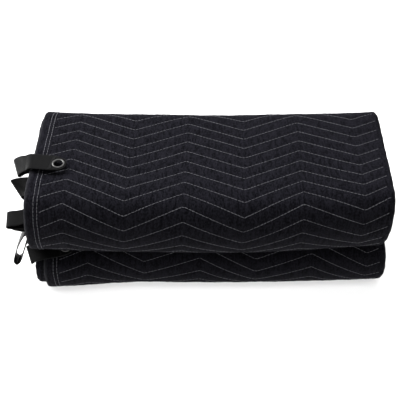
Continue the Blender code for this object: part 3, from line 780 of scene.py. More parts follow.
@dataclass
class Blanket:
    """The folded cloth, one closed sheet of three plies in eight layers."""

    finish: QuiltedCloth
    quilt: Quilt = Quilt()
    steps_a_channel: int = 6
    columns_a_peak: int = 16
    crease_in: float = 0.125
    fade_length: float = 0.105
    seen_in_crease: float = 0.055
    hidden_step: float = 0.0150
    bend_step: float = 0.0070
    end_step: float = 0.0035
    edge_step: float = 0.011
    straight_inset: float = 0.01
    hidden_relief: float = 0.35
    end_narrow: float = 0.8
    floor_z: float = 0.0015
    floor_ys: Pair = (LOWER_FRONT_Y + 0.035, SPINE_Y - 0.025)
    lead_columns: int = 9
    tail_columns: int = 12
    hem_rows: Pair = (0.0180, 0.0249)
    sewn_from: Pair = (0.0239, 0.0299)
    hem_groove: float = 0.0008
    groove_reach: float = 0.0014
    gap: float = 0.0003
    mouth: float = 0.0034
    mouth_depth: float = 0.060
    mouth_inset: float = 0.003
    slit_end: float = 0.0078
    round_reach: float = 0.010
    pucker: float = 0.0007
    pucker_waves: Place = (0.0084, 0.0118, 0.0190)
    hem_wander: float = 0.0011
    wander_waves: Place = (0.021, 0.037, 0.083)
    # Reach and strength of the painted edge highlight, at the hem, at the right tuck and on hidden
    # rows.
    highlight_reach: float = 0.0038
    right_highlight: float = 0.4
    hidden_highlight: float = 0.4
    seed: int = 7
    flat: Pair = (2.0, 2.2)

    def __post_init__(self) -> None:
        """Draws the phases of the puckers, then lists the rows."""
        random = np.random.default_rng(self.seed)
        self.pucker_phases = random.uniform(0.0, 2 * math.pi, (200, 3))
        self.hem_phases = random.uniform(0.0, 2 * math.pi, (4, 3))
        self.first = float(STRIP.outer_of(STRIP.spans[OVER_CREASE][1] - self.crease_in))
        self.last = float(STRIP.outer_of(STRIP.spans[BELOW_CREASE][0] + self.crease_in))
        self.origin = STRIP.anchor - self.quilt.rise / 2
        self.rows = self.list_rows()

    def line_row(self, number: int, part: int = 0) -> Row:
        """The row of a quilt line, or one that stands after it.

        Args:
            number: Number of the quilt line.
            part: How many steps the row stands after it.

        Returns:
            The row.
        """
        phase = part / self.steps_a_channel
        base = self.origin + (number + phase) * self.quilt.spacing
        rise = smooth_step(np.float64(base), self.first, self.first + self.fade_length)
        fall = smooth_step(np.float64(base), self.last - self.fade_length, self.last)
        fade = float(rise * (1 - fall))
        return Row(base, float(STRIP.length_of(base)), fade, phase, number, fade)

    def line_numbers(self) -> range:
        """Numbers of the quilt lines that lie between the two ends of the quilted rows."""
        return range(math.ceil((self.first - self.origin) / self.quilt.spacing),
                     math.floor((self.last - self.origin) / self.quilt.spacing))

    def is_seen(self, row: Row) -> bool:
        """Whether a row lies no deeper in the crease than the eye reaches."""
        return self.first + self.seen_in_crease < row.base < self.last - self.seen_in_crease

    def list_rows(self) -> list[Row]:
        """The rows from the strip's upper free end to its lower one.

        Returns:
            The quilted rows, which are close, with the hidden ones before and after them.
        """
        quilted = []
        for number in self.line_numbers():
            for part in range(self.steps_a_channel):
                row = self.line_row(number, part)
                y, z = STRIP.place(row.length, 1.0, 0.0)
                under = z < self.floor_z and self.floor_ys[0] < y < self.floor_ys[1]
                if self.is_seen(row) and not under or part % (self.steps_a_channel // 2) == 0:
                    quilted.append(row)
        stops = [(start, end, self.hidden_step) for start, end in STRIP.spans]
        stops += [(end, following[0], self.bend_step)
                  for (_, end), following in zip(STRIP.spans, STRIP.spans[1:])]
        last = STRIP.at[-1]
        hidden = [self.end_step, last - self.end_step, last]
        for start, end, step in stops:
            count = max(2, round((end - start) / step))
            hidden += [start + (end - start) * index / count for index in range(count)]
        upper, lower = [], []
        for index, length in enumerate(sorted(hidden)):
            base = float(STRIP.outer_of(length))
            if quilted[0].base - self.edge_step < base < quilted[-1].base + self.edge_step:
                continue
            straight = any(start + self.straight_inset < length < end - self.straight_inset
                           for start, end in STRIP.spans)
            row = Row(base, float(length), 0.0, 0.5 * (index % 2), index,
                      self.hidden_relief if straight else 0.0,
                      self.end_narrow if length in (0.0, last) else 1.0)
            (upper if length < quilted[0].length else lower).append(row)
        return upper + quilted + lower

    def relief(self, row: Row, x: Array, hem: float) -> Array:
        """How far the outer face stands in between the puffed channels, never out.

        Args:
            row: The row.
            x: X of its points.
            hem: X of its hem.

        Returns:
            The lifts, 0 or less.
        """
        puff = 1.0 - abs(math.sin(math.pi * row.phase)) ** self.quilt.roundness
        sewn = smooth_step(x - hem, *self.sewn_from) * row.relief
        phases = self.pucker_phases[row.channel % len(self.pucker_phases)]
        waves = sum(np.sin(2 * math.pi * x / wave + phase)
                    for wave, phase in zip(self.pucker_waves, phases)) / 3
        puckers = self.pucker * (0.5 + 0.5 * waves) * math.sin(math.pi * row.phase)
        carved = (self.quilt.groove * puff + puckers) * sewn
        for at in self.hem_rows if row.fade > 0 else ():
            carved = carved + self.hem_groove * np.exp(-((x - hem - at) / self.groove_reach) ** 2)
        return -carved

    def edges(self, row: Row) -> Edges:
        """The edges of a row, each of which wanders in from its straight course.

        Args:
            row: The row.

        Returns:
            X of hem, turn, fold and tuck.
        """
        made = []
        for side, inward in zip(Side, (1, 1, -1, -1)):
            total = sum(math.sin(2 * math.pi * row.base / wave + phase)
                        for wave, phase in zip(self.wander_waves, self.hem_phases[side.value]))
            wander = self.hem_wander * (0.5 + total / 6)
            made.append(STRIP.edge(side, row.length) + inward * wander)
        return tuple(made)

    def outer_columns(self, row: Row, hem: float, fold: float) -> Array:
        """Columns of the outer face in a row, from hem to fold.

        Args:
            row: The row.
            hem: X of its hem.
            fold: X of its right fold.

        Returns:
            X of the columns.
        """
        peaks = self.quilt.peak_columns(row.base - STRIP.anchor)
        band = hem + HEM_BAND
        lead = np.linspace(band[-1], peaks[0], self.lead_columns)[1:-1]
        fine = np.arange((len(peaks) - 1) * self.columns_a_peak + 1) / self.columns_a_peak
        fine = np.interp(fine, np.arange(len(peaks)), peaks)
        tail = np.linspace(peaks[-1], fold - self.round_reach, self.tail_columns)[1:]
        return np.concatenate([band, lead, fine, tail])

    def gap_half(self, away: Array) -> Array:
        """Half the gap between two plies, at a distance from its mouth."""
        closed = smooth_step(away, 0.0, self.mouth_depth)
        return self.gap / 2 + (self.mouth - self.gap) / 2 * (1 - closed)

    def section(self, row: Row) -> tuple[Array, Array, Array, Array]:
        """The cloth's closed section at a row.

        Args:
            row: The row.

        Returns:
            X, depth, lift and painted edge highlight of its points.
        """
        hem, turn, fold, tuck = self.edges(row)
        reach, wide = self.round_reach, self.gap_half(0.0)
        inner = self.quilt.peak_columns(row.base - STRIP.anchor)
        columns = self.outer_columns(row, hem, fold)
        lifts = self.relief(row, columns, hem)
        right_mouth, left_mouth = min(fold, tuck), max(hem, turn)
        lower = np.append(inner, right_mouth - reach - self.mouth_inset)
        upper = np.insert(inner, 0, left_mouth + reach + self.mouth_inset)
        lower_gap, upper_gap = self.gap_half(right_mouth - lower), self.gap_half(upper - left_mouth)
        under = np.interp(np.arange(2 * len(inner) - 1) / 2, np.arange(len(inner)), inner)
        up, down = np.sin(FOLD_ANGLES).clip(0.0), (-np.sin(FOLD_ANGLES)).clip(0.0)
        parts = (
            (columns, 1.0, lifts),
            (fold - reach * FOLD_IN, PLY + (1 - PLY) * np.sin(FOLD_ANGLES),
             lifts[-1] * up + wide * down),
            (lower[::-1], -PLY, lower_gap[::-1]),
            (turn + self.slit_end, -PLY, 0.0),
            (lower, -PLY, -lower_gap),
            (tuck - TUCK_CUT[0], TUCK_CUT[1], TUCK_CUT[2]),
            (under[::-1], -1.0, 0.0),
            (turn + reach * TURN_IN, -PLY + (1 - PLY) * np.sin(TURN_ANGLES),
             -wide * np.sin(TURN_ANGLES).clip(0.0)),
            (upper, PLY, -upper_gap),
            (fold - self.slit_end, PLY, 0.0),
            (upper[::-1], PLY, upper_gap[::-1]),
            (hem + HEM_CUT[0], HEM_CUT[1], HEM_CUT[2]),
        )
        parts = [np.broadcast_arrays(*(np.atleast_1d(value) for value in part)) for part in parts]
        x, depth, lift = (np.concatenate(values) for values in zip(*parts))
        # Painted highlight: lighter near the hem on the outer plies and near the tuck on the inner
        # ones, fainter on hidden rows.
        left = np.exp(-((x - hem) / self.highlight_reach) ** 2) * (depth >= PLY)
        right = np.exp(-((x - tuck) / self.highlight_reach) ** 2) * (depth <= -PLY)
        seen = self.hidden_highlight + (1 - self.hidden_highlight) * row.fade
        return x, depth, lift, np.maximum(left, self.right_highlight * right) * seen

    def points(self, row: Row, x: Array, depth: Array, lift: Array) -> Array:
        """Points of the soft bundle at a row.

        Args:
            row: The row.
            x: X of the points.
            depth: From -1, the inner face, to 1, the outer one.
            lift: Metres further out than that depth.

        Returns:
            The points, one a row.
        """
        length = np.full_like(x, row.length)
        if row.fade:
            length = STRIP.length_of(row.base + row.fade * self.quilt.offset(x, row.base))
        return SOFTNESS.apply(x, *STRIP.place(length, depth * row.narrow, lift))

    def build(self) -> Piece:
        """Builds the sheet, gives it its painted edge highlight attribute and dresses it.

        Returns:
            The cloth.
        """
        rings, u, v, around, painted_highlights = [], [], [], [], []
        for row in self.rows:
            x, depth, lift, painted_highlight = self.section(row)
            half = np.interp(row.length, STRIP.at, STRIP.half)
            distances, whole = way_round(np.column_stack([x, depth * half + lift]))
            rings.append(self.points(row, x, depth, lift))
            u.append(distances)
            v.append(row.base + row.fade * self.quilt.offset(x, row.base))
            around.append(whole)
            painted_highlights.append(painted_highlight)
        cloth = loft("quilted_blanket", np.array(rings), np.array(u), np.array(v),
                     np.array(around), 55)
        # Stores the painted edge highlight as a point attribute that the cloth's material reads.
        attribute = cloth.data.attributes.new(EDGE_HIGHLIGHT, "FLOAT", "POINT")
        attribute.data.foreach_set("value", np.concatenate(painted_highlights))
        cloth.data.materials.append(self.finish.material())
        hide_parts("blanket")
        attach(cloth, BODY)
        return cloth


# ---- stitching
@dataclass
class Stitching:
    """Dashes of thread along lines on the cloth."""

    pitch: float = 0.0066
    dash: float = 0.0060
    thick: float = 0.00088
    stand: float = 0.0003
    wobble: float = 0.05
    uneven: float = 0.03
    sides: int = 5
    point: float = 0.14
    smooth_angle: float = 60.0
    seed: int = 11

    def __post_init__(self) -> None:
        """Models one dash, which every stitch copies."""
        self.random = np.random.default_rng(self.seed)
        deselect()
        bpy.ops.mesh.primitive_cylinder_add(vertices=self.sides, radius=0.5, depth=1.0,
                                            rotation=(0.0, math.pi / 2, 0.0))
        item = bpy.context.active_object
        set_mode("EDIT")
        bpy.ops.mesh.select_all(action="DESELECT")
        set_mode("OBJECT")
        for face in item.data.polygons:
            face.select = len(face.vertices) == self.sides and abs(face.normal.z) > 0.5
        set_mode("EDIT")
        bpy.ops.mesh.select_mode(type="FACE")
        bpy.ops.mesh.poke(offset=self.point)
        set_mode("OBJECT")
        bpy.ops.object.transform_apply(location=False, rotation=True, scale=True)
        self.shape = np.array([vertex.co for vertex in item.data.vertices])
        self.shape[:, 0] /= np.abs(self.shape[:, 0]).max() * 2
        self.faces = [list(face.vertices) for face in item.data.polygons]
        bpy.data.objects.remove(item, do_unlink=True)

    def sew(self, name: str, lines: list[Line], finish: Material) -> Piece:
        """Sews dashes along lines and joins them in one piece.

        Args:
            name: Name of the piece.
            lines: The points and the surface normals along each line.
            finish: The thread's material.

        Returns:
            The piece.
        """
        long, wide, high = self.shape.T[:, :, None, None]
        bodies = []
        for points, normals in lines:
            at = run_length(points)
            start = self.random.uniform(0.3, 0.7) * self.pitch
            middles = np.arange(start, at[-1] - self.dash / 2, self.pitch)
            middles += self.random.normal(0.0, self.uneven * self.pitch, len(middles))
            back, front = (spread(middles + step * self.dash / 2, at, points) for step in (-1, 1))
            size = np.linalg.norm(front - back, axis=1, keepdims=True)
            along = (front - back) / size
            across = unit(np.cross(spread(middles, at, normals), along))
            along = unit(along + across * self.random.normal(0.0, self.wobble, (len(middles), 1)))
            normal = np.cross(along, across)
            centre = (back + front) / 2 + normal * self.stand
            bodies.append((centre + long * size * along
                           + (wide * across + high * normal) * self.thick).swapaxes(0, 1))
        stitches = np.concatenate(bodies)
        faces = [[vertex + index * len(self.shape) for vertex in face]
                 for index in range(len(stitches)) for face in self.faces]
        mesh = bpy.data.meshes.new(name)
        mesh.from_pydata(stitches.reshape(-1, 3).tolist(), [], faces)
        item = add_piece(name, mesh, self.smooth_angle)
        item.data.materials.append(finish)
        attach(item, BODY)
        return item


@dataclass
class BlanketStitching:
    """The zigzag quilt lines and the two rows along the hem."""

    blanket: Blanket
    stitching: Stitching
    finish: Thread
    normal_step: float = 0.001
    line_start: float = 0.0035
    least_fade: float = 0.05

    def on_row(self, row: Row, x: Array, hem: float) -> Line:
        """Points of a row's outer face and the outward directions there.

        Args:
            row: The row.
            x: X of the points.
            hem: X of the row's hem.

        Returns:
            The points and the directions.
        """
        lift, outer = self.blanket.relief(row, x, hem), np.ones_like(x)
        points = self.blanket.points(row, x, outer, lift)
        return points, unit(self.blanket.points(row, x, outer, lift + self.normal_step) - points)

    def quilt_line(self, number: int) -> Line:
        """A zigzag line, from the hem's second row round the right fold.

        Args:
            number: Number of the line.

        Returns:
            Points and normals along it.
        """
        row = self.blanket.line_row(number)
        hem, _, fold, _ = self.blanket.edges(row)
        x = self.blanket.outer_columns(row, hem, fold)
        start = hem + self.blanket.hem_rows[1] + self.line_start
        return self.on_row(row, np.insert(x[x > start + self.normal_step], 0, start), hem)

    def hem_line(self, inset: float) -> Line:
        """A row of the hem.

        Args:
            inset: Its distance from the hem's edge.

        Returns:
            Points and normals along it.
        """
        made = []
        for row in self.blanket.rows:
            if row.fade > self.least_fade:
                hem = self.blanket.edges(row)[0]
                made.append(self.on_row(row, np.array([hem + inset]), hem))
        return tuple(np.concatenate(values) for values in zip(*made))

    def build(self) -> list[Piece]:
        """Sews both pieces and dresses them.

        Returns:
            The pieces.
        """
        blanket, finish = self.blanket, self.finish.material()
        zigzags = [self.quilt_line(number) for number in blanket.line_numbers()
                   if blanket.is_seen(blanket.line_row(number))]
        hem = [self.hem_line(inset) for inset in blanket.hem_rows]
        return [self.stitching.sew("quilt_stitching", zigzags, finish),
                self.stitching.sew("hem_stitching", hem, finish)]


# ---- webbing tabs
@dataclass(frozen=True)
class TabRoute:
    """A tab's route, from its root in the hem to its eyelet end.

    Each row has X, Y and Z of the webbing's middle, in tenths of a millimetre,
    then how its width is turned (yaw) and dropped (dip), in degrees.
    """

    number: int
    run: int | None
    root_y: float | None
    rows: tuple[tuple[int, int, int, int, int], ...]


ROUTES = (
    TabRoute(1, TOP, -0.0240, (
        (-3310, -230, 2205, 5, 3), (-3420, -225, 2150, 13, 7), (-3485, -225, 2130, 19, 10),
        (-3515, -225, 2145, 21, 11), (-3500, -225, 2188, 21, 11), (-3425, -232, 2258, 18, 9),
        (-3345, -248, 2310, 13, 6), (-3285, -260, 2336, 9, 4), (-3238, -270, 2376, 6, 2),
        (-3175, -284, 2408, 2, 0), (-3080, -300, 2408, -2, 0), (-2825, -324, 2400, -9, 0),
        (-2491, -382, 2388, -10, 0))),
    TabRoute(2, 0, -0.0300, (
        (-3300, -300, 1786, 12, 8), (-3450, -300, 1755, 28, 22), (-3560, -295, 1710, 40, 34),
        (-3610, -295, 1670, 42, 38), (-3590, -308, 1620, 42, 36), (-3510, -328, 1570, 36, 30),
        (-3420, -340, 1500, 25, 20), (-3365, -345, 1390, 12, 8), (-3355, -350, 1280, 3, 2),
        (-3355, -350, 1150, 0, 0), (-3355, -350, 810, 0, 0))),
    TabRoute(3, 1, -0.0630, (
        (-3235, -700, 1540, 6, 0), (-3340, -815, 1500, 8, 0), (-3480, -885, 1500, 9, 0),
        (-3620, -912, 1508, 9, 0), (-3695, -925, 1490, 9, 0), (-3690, -925, 1450, 9, 0),
        (-3600, -920, 1425, 9, 0), (-3450, -910, 1420, 8, 0), (-3350, -905, 1405, 6, 0),
        (-3310, -900, 1370, 5, 0), (-3325, -895, 1337, 4, 0), (-3362, -893, 1325, 3, 0),
        (-3702, -885, 1318, 3, 0))),
    TabRoute(4, OVER_CREASE, -0.0830, (
        (-3345, -838, 1125, 3, -4), (-3440, -860, 1100, 8, -12), (-3510, -940, 1030, 10, -18),
        (-3585, -1050, 905, 10, -22), (-3650, -1145, 755, 10, -24), (-3665, -1195, 665, 8, -24),
        (-3615, -1215, 620, 6, -22), (-3540, -1190, 675, 5, -20), (-3490, -1120, 775, 4, -16),
        (-3455, -1020, 880, 2, -8), (-3415, -920, 940, 0, -2), (-3370, -840, 945, 0, 0),
        (-3325, -790, 915, 0, 0), (-3302, -768, 865, 0, 0), (-3297, -765, 820, 0, 0),
        (-3297, -765, 480, 0, 0))),
    TabRoute(5, None, None, (
        (-3056, -1130, 893, 0, 14), (-3130, -1150, 890, 6, 15), (-3220, -1200, 870, 14, 17),
        (-3290, -1265, 865, 20, 19), (-3325, -1310, 885, 23, 20), (-3320, -1325, 913, 23, 19),
        (-3270, -1310, 938, 21, 17), (-3150, -1275, 953, 17, 13), (-3000, -1240, 952, 14, 10),
        (-2790, -1200, 962, 12, 10), (-2465, -1145, 974, 10, 10))),
)
UNITS_A_METRE = 10000
SELVEDGE = np.array([(0.985, 0.80), (0.997, 0.45), (1.0, 0.15), (1.0, 0.0), (1.0, -0.15),
                     (0.997, -0.45), (0.985, -0.80)])
DOUBLE_SELVEDGE = np.array([(0.985, 0.86), (1.0, 0.55), (0.988, 0.12), (0.955, 0.0),
                            (0.988, -0.12), (1.0, -0.55), (0.985, -0.86)])
TIP_ANGLES = np.radians([0, 10, 20, 30, 39, 47, 54, 60, 66, 71, 76, 80, 84, 87])
# The levels of a centripetal curve: the knots that each of its straight blends lies between.
CURVE_LEVELS = (((0, 1), (1, 2), (2, 3)), ((0, 2), (1, 3)), ((1, 2),))


@dataclass(frozen=True)
class EyeletSizes:
    """Sizes of an eyelet and of its place in the tab."""

    inset: float = 0.0165
    outer: float = 0.0114
    hole: float = 0.0085
    wall: float = 0.0006
    flange: float = 0.0009
    gap: float = 0.0003


@dataclass
class WebbingTab:
    """A webbing tab: a flat ribbon with a doubled end and a punched hole."""

    route: TabRoute
    finish: Material
    eyelet: EyeletSizes = EyeletSizes()
    width: float = 0.038
    thick: float = 0.0018
    end_thick: float = 0.0036
    steps: int = 8
    root_insets: Pair = (0.0050, 0.0005)
    hole_sides: int = 48
    shoulder: Pair = (0.0110, 0.0365)
    eyelet_width: float = 0.0330
    tip: float = 0.0150
    tip_thinning: float = 0.97
    flat_edge: float = 0.955
    flat_columns: int = 11
    doubling: tuple[Place, ...] = ((0.0, 0.0018, 0.0), (0.0019, 0.0018, 0.0), (0.0024, 0.0030, 0.6),
                                   (0.0032, 0.0034, 1.0))
    doubled_places: Pair = (0.0050, 0.0080)
    shoulder_steps: int = 5
    stitch_rows: Pair = (0.0045, 0.0062)
    stitch_inset: float = 0.0022
    stitch_points: int = 12

    def __post_init__(self) -> None:
        """Lists the route's rows, those in the slit first, and the directions at the end."""
        self.table = np.array(self.route.rows, dtype=float)
        self.table[:, :3] /= UNITS_A_METRE
        if self.route.run is not None:
            self.table = np.vstack([*self.root_rows(), self.table])
        self.start, self.end = self.table[-2, :3], self.table[-1, :3]
        self.along = unit(self.end - self.start)
        self.across = self.width_direction(*self.table[-1, 3:])
        self.normal = unit(np.cross(self.along, self.across))

    def root_rows(self) -> list[Array]:
        """Rows inside the slit under the hem.

        Returns:
            X, Y, Z, yaw and dip of each row.
        """
        run = RUNS[self.route.run]
        first, last = STRIP.spans[self.route.run]
        share = (self.route.root_y - run.start) / (run.end - run.start)
        length = first + share * (last - first)
        made = []
        for inset in self.root_insets:
            x = np.array([STRIP.edge(Side.HEM, length) + inset])
            y, z = STRIP.place(np.array([length]), PLY, 0.0)
            made.append(np.append(SOFTNESS.apply(x, y, z)[0] - SHIFT, (0.0, 0.0)))
        return made

    def width_direction(self, yaw: float, dip: float) -> Array:
        """Direction of the webbing's width, towards its front edge."""
        yaw, dip = math.radians(yaw), math.radians(dip)
        return np.array([math.sin(yaw), -math.cos(yaw), -math.tan(dip)]) * math.cos(dip)

    @staticmethod
    def curve_point(rows: Array, share: float) -> Array:
        """A point of a centripetal curve between the second and third of four rows.

        Args:
            rows: The four rows.
            share: From 0, the second row, to 1, the third.

        Returns:
            The row there.
        """
        steps = np.sqrt(np.linalg.norm(np.diff(rows[:, :3], axis=0), axis=1))
        knots = np.concatenate([[0.0], np.cumsum(steps)])
        at = knots[1] + share * (knots[2] - knots[1])
        level = list(rows)
        for pairs in CURVE_LEVELS:
            level = [(level[i] * (knots[high] - at) + level[i + 1] * (at - knots[low]))
                     / (knots[high] - knots[low]) for i, (low, high) in enumerate(pairs)]
        return level[0]

    def eyelet_frame(self) -> Matrix:
        """Finds where the tab's eyelet goes.

        Returns:
            Its place and turn, with +Z along its hole.
        """
        centre = Vector(self.end - self.along * self.eyelet.inset + SHIFT)
        turn = Vector(self.normal).to_track_quat("Z", "Y")
        return Matrix.Translation(centre) @ turn.to_matrix().to_4x4()

    def stations(self) -> list[tuple[Array, Array, float, float, float]]:
        """The stations along the tab.

        Returns:
            Middle, width direction, width, thickness and doubling of each.
        """
        padded = np.vstack([2 * self.table[0] - self.table[1], self.table])
        made = []
        for index in range(1, len(padded) - 2):
            for step in range(self.steps):
                row = self.curve_point(padded[index - 1:index + 3], step / self.steps)
                made.append((row[:3], self.width_direction(*row[3:]), self.width, self.thick, 0.0))
        ring_at = float(np.linalg.norm(self.end - self.start)) - self.eyelet.inset
        last = [(at, self.width, thick, doubled) for at, thick, doubled in self.doubling]
        places = (last[-1][0], self.shoulder[0], ring_at)
        widths = (self.width, self.shoulder[1], self.eyelet_width)
        sides = np.linspace(self.shoulder[0], ring_at, self.shoulder_steps + 1)[:-1]
        for at in (*self.doubled_places, *sides):
            last.append((at, float(np.interp(at, places, widths)), self.end_thick, 1.0))
        for turn in TIP_ANGLES:
            reach = self.tip * math.sin(turn)
            into_fold = max(0.0, 1.0 - (self.tip - reach) / (self.end_thick / 2))
            thick = self.end_thick * math.sqrt(1.0 - self.tip_thinning * into_fold ** 2)
            last.append((ring_at + reach, self.eyelet_width * math.cos(turn), thick, 1.0))
        made += [(self.start + self.along * at, self.across, *sizes) for at, *sizes in last]
        return made

    def section(self, doubled: float) -> Array:
        """The webbing's section, with its selvedges.

        Args:
            doubled: 0 for one layer of webbing, 1 for two.

        Returns:
            Points across and through it, from -1 to 1.
        """
        edge = SELVEDGE + (DOUBLE_SELVEDGE - SELVEDGE) * doubled
        flat = np.linspace(-self.flat_edge, self.flat_edge, self.flat_columns)
        top = np.column_stack([flat, np.ones_like(flat)])
        return np.concatenate([top, edge, top[::-1] * (1, -1), edge[::-1] * (-1, 1)])

    def build(self) -> Piece:
        """Lofts the ribbon, punches its hole and dresses it.

        Returns:
            The tab.
        """
        stations = self.stations()
        centres = np.array([station[0] for station in stations])
        steps = unit(np.diff(centres, axis=0))
        tangents = np.vstack([steps[:1], steps[:-1] + steps[1:], steps[-1:]])
        straight = sum(1 for station in stations if station[4] > 0.0) + 2
        tangents[-straight:] = self.along
        rings, u, around = [], [], []
        for (centre, across, width, thick, doubled), tangent in zip(stations, tangents):
            normal = unit(np.cross(tangent, across))
            section = self.section(doubled) * (width / 2, thick / 2)
            rings.append(centre + SHIFT + section[:, :1] * across + section[:, 1:] * normal)
            distances, whole = way_round(section)
            # The weave stays straight where the tab narrows, as if it were cut off there.
            slack = self.flat_edge * (self.width - width)
            distances += slack / 2
            distances[len(section) // 2:] += slack
            u.append(distances)
            around.append(whole + 2 * slack)
        v = np.repeat(run_length(centres)[:, None], len(u[0]), axis=1)
        item = loft(f"webbing_tab_{self.route.number}", np.array(rings), np.array(u), v,
                    np.array(around), 45)
        item.data.materials.append(self.finish)
        self.punch(item)
        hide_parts(f"tab_{self.route.number}")
        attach(item, BODY)
        return item

    def punch(self, item: Piece) -> None:
        """Punches the hole for the eyelet.

        Args:
            item: The tab.
        """
        deselect()
        radius = self.eyelet.hole + self.eyelet.wall + self.eyelet.gap
        bpy.ops.mesh.primitive_cylinder_add(vertices=self.hole_sides, radius=radius,
                                            depth=4 * self.end_thick)
        cutter = bpy.context.active_object
        cutter.data.transform(self.eyelet_frame())
        hole = item.modifiers.new("eyelet_hole", "BOOLEAN")
        hole.solver = "EXACT"
        hole.object = cutter
        bpy.context.view_layer.objects.active = item
        bpy.ops.object.modifier_apply(modifier=hole.name)
        bpy.data.objects.remove(cutter, do_unlink=True)

    def stitch_lines(self) -> list[Line]:
        """Rows of stitches across the doubled end, on both of its faces.

        Returns:
            Points and normals along each row.
        """
        half, lines = self.width / 2 - self.stitch_inset, []
        for out in (-self.normal, self.normal):
            for at in self.stitch_rows:
                middle = self.start + SHIFT + self.along * at + out * self.end_thick / 2
                ends = [middle + self.across * side * half for side in (-1, 1)]
                normals = np.repeat([out], self.stitch_points, axis=0)
                lines.append((np.linspace(*ends, self.stitch_points), normals))
        return lines


@dataclass
class Eyelet:
    """A rolled metal eyelet, turned once and copied to each tab."""

    sizes: EyeletSizes = EyeletSizes()
    half_cloth: float = 0.0018
    sides: int = 56
    lip: float = 0.0006
    sunk: float = 0.00002
    corner: float = 0.0004
    bore_ring: float = 0.0008

    def profile(self) -> list[Pair]:
        """The eyelet's rings, from the bore's front lip round its section.

        Returns:
            Radius and height of each ring.
        """
        sizes, face = self.sizes, self.half_cloth + self.sizes.gap
        middle, reach = (sizes.hole + sizes.outer) / 2, (sizes.outer - sizes.hole) / 2
        crown = [(middle - reach * math.cos(angle), face + sizes.flange * math.sin(angle) ** 0.85)
                 for angle in np.radians(np.linspace(0, 180, 13))]
        barrel = sizes.hole + sizes.wall
        front = crown + [(sizes.outer - self.lip, face - self.sunk),
                         (barrel + self.corner, face - self.sunk),
                         (barrel, face - self.corner), (barrel, 0.0)]
        back = [(radius, -height) for radius, height in front[::-1]]
        return front + back[1:] + [(sizes.hole, -self.bore_ring), (sizes.hole, self.bore_ring)]

    def model(self) -> bpy.types.Mesh:
        """Models the eyelet at the origin: a circle drawn ring by ring round its section.

        Returns:
            Its mesh.
        """
        deselect()
        profile = self.profile()
        bpy.ops.mesh.primitive_circle_add(vertices=self.sides, radius=profile[0][0],
                                          location=(0.0, 0.0, profile[0][1]))
        item = bpy.context.active_object
        bpy.ops.object.transform_apply(location=True, rotation=False, scale=False)
        set_mode("EDIT")
        bpy.ops.mesh.select_all(action="SELECT")
        for (radius, height), (wider, higher) in zip(profile, profile[1:] + profile[:1]):
            move = {"value": (0.0, 0.0, higher - height)}
            bpy.ops.mesh.extrude_edges_move(TRANSFORM_OT_translate=move)
            bpy.ops.transform.resize(value=(wider / radius, wider / radius, 1.0),
                                     center_override=(0.0, 0.0, higher))
        bpy.ops.mesh.select_all(action="SELECT")
        bpy.ops.mesh.remove_doubles(threshold=0.000004)
        bpy.ops.mesh.normals_make_consistent(inside=False)
        set_mode("OBJECT")
        smooth = item.modifiers.new("round", "SUBSURF")
        smooth.levels = smooth.render_levels = 1
        bpy.ops.object.modifier_apply(modifier=smooth.name)
        mesh = item.data.copy()
        bpy.data.objects.remove(item, do_unlink=True)
        return mesh

    def place(self, mesh: bpy.types.Mesh, tab: WebbingTab, finish: Material) -> Piece:
        """Copies the eyelet into a tab and dresses it.

        Args:
            mesh: The eyelet at the origin.
            tab: The tab.
            finish: The metal's material.

        Returns:
            The eyelet.
        """
        copy = mesh.copy()
        copy.transform(tab.eyelet_frame())
        copy.materials.append(finish)
        item = add_piece(f"eyelet_ring_{tab.route.number}", copy)
        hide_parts(f"eyelet_{tab.route.number}")
        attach(item, BODY)
        return item


# ---- studio
@dataclass(frozen=True)
class Softbox:
    """An area light that looks at the middle of the blanket."""

    name: str
    place: Place
    size: Pair
    power: float
    floor_only: bool = False
    mirrored: bool = True
    looks_at: Place = (0.0, 0.0, 0.1)

    def build(self, floor: bpy.types.Collection) -> None:
        """Adds the light.

        Args:
            floor: Holds the floor. A light for the floor only lights that and nothing else.
        """
        data = bpy.data.lights.new(self.name, "AREA")
        data.shape = "RECTANGLE"
        data.size, data.size_y = self.size
        data.energy = self.power
        lamp = bpy.data.objects.new(self.name, data)
        lamp.location = self.place
        lamp.visible_glossy = self.mirrored
        aim = Vector(self.looks_at) - Vector(self.place)
        lamp.rotation_euler = aim.to_track_quat("-Z", "Y").to_euler()
        if self.floor_only:
            lamp.light_linking.receiver_collection = floor
            lamp.light_linking.blocker_collection = floor
        bpy.context.collection.objects.link(lamp)


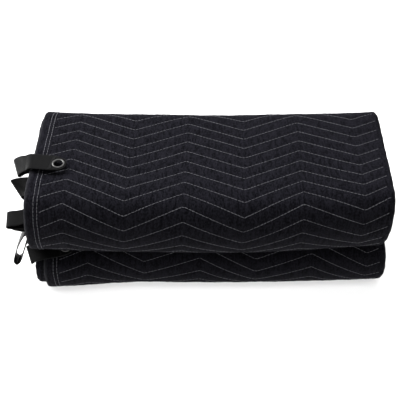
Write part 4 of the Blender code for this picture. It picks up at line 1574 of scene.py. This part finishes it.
@dataclass(frozen=True)
class Studio:
    """The pale floor, the soft lights and the camera."""

    floor_size: float = 14.0
    floor_z: float = -0.0002
    floor_colour: Colour = (0.66, 0.66, 0.66, 1.0)
    paler_colour: Colour = (0.6732, 0.6732, 0.6732, 1.0)
    floor_clouds: float = 2.0
    world_colour: Colour = (1.0, 1.0, 1.0, 1.0)
    world_strength: float = 0.38
    lens: float = 54.0
    sensor: float = 36.0
    shift_y: float = 0.0133
    tilt: float = 48.2
    camera_place: Place = (0.00336, -0.82306, 1.01139)
    lights: tuple[Softbox, ...] = (
        Softbox("light_top", (-0.7, 1.65, 2.5), (2.8, 2.4), 230.0, mirrored=False),
        Softbox("light_left", (-2.0, 0.6, 1.4), (0.8, 0.8), 34.0),
        Softbox("light_floor", (0.0, -0.45, 1.2), (1.6, 0.5), 27.0, floor_only=True),
    )

    def build(self) -> None:
        """Lays the floor, hangs the lights and sets up the camera."""
        deselect()
        bpy.ops.mesh.primitive_grid_add(x_subdivisions=4, y_subdivisions=4, size=self.floor_size,
                                        location=(0.0, 0.0, self.floor_z))
        floor = bpy.context.active_object
        floor.name = "floor"
        paint = Paint(Finish("floor_paint", roughness=0.9, specular=0.2))
        slow = paint.clouds(paint.object_place(), self.floor_clouds)
        shade = paint.mix(slow, self.floor_colour, self.paler_colour)
        paint.tree.links.new(shade, paint.shader["Base Color"])
        floor.data.materials.append(paint.material)
        world = bpy.data.worlds.new("studio")
        world.use_nodes = True
        background = world.node_tree.nodes["Background"]
        background.inputs["Color"].default_value = self.world_colour
        background.inputs["Strength"].default_value = self.world_strength
        bpy.context.scene.world = world
        lit_alone = bpy.data.collections.new("floor_lit_alone")
        lit_alone.objects.link(floor)
        for light in self.lights:
            light.build(lit_alone)
        camera = bpy.data.objects.new("camera", bpy.data.cameras.new("camera"))
        camera.data.lens, camera.data.sensor_width = self.lens, self.sensor
        camera.data.shift_y = self.shift_y
        camera.location = self.camera_place
        tilt = math.radians(self.tilt)
        aim = Vector((0.0, math.cos(tilt), -math.sin(tilt)))
        camera.rotation_euler = aim.to_track_quat("-Z", "Y").to_euler()
        bpy.context.collection.objects.link(camera)
        bpy.context.scene.camera = camera
        bpy.context.scene.view_settings.view_transform = "Standard"


def main() -> None:
    """Builds the studio, the blanket, its stitching, its tabs and its eyelets."""
    logging.basicConfig(level=logging.INFO, format="%(name)s: %(message)s")
    Studio().build()
    finish = QuiltedCloth("quilted_cloth_finish", roughness=0.88, sheen=0.01, specular=0.04)
    blanket = Blanket(finish)
    cloth = blanket.build()
    thread = Thread("thread_finish", roughness=0.7, specular=0.2)
    goes_with = BlanketStitching(blanket, Stitching(), thread).build()
    webbing = Webbing("webbing_finish", roughness=0.36, specular=0.06).material()
    metal = PlatedMetal("eyelet_finish", roughness=0.40, metallic=1.0).material()
    eyelet = Eyelet()
    eyelet_mesh = eyelet.model()
    lines = []
    for tab_route in ROUTES:
        tab = WebbingTab(tab_route, webbing)
        goes_with += [tab.build(), eyelet.place(eyelet_mesh, tab, metal)]
        lines += tab.stitch_lines()
    # Dark thread for the tabs, with the same painted highlight and painted shade mix.
    dark_thread = Thread("dark_thread_finish", roughness=0.6, colour=(0.03, 0.03, 0.03, 1.0),
                         painted_shade_colour=(0.015, 0.015, 0.015, 1.0)).material()
    tab_stitching = Stitching(pitch=0.0030, dash=0.0025, thick=0.0006, stand=0.0001, seed=5)
    goes_with.append(tab_stitching.sew("tab_stitching", lines, dark_thread))


if __name__ == "__main__":
    main()
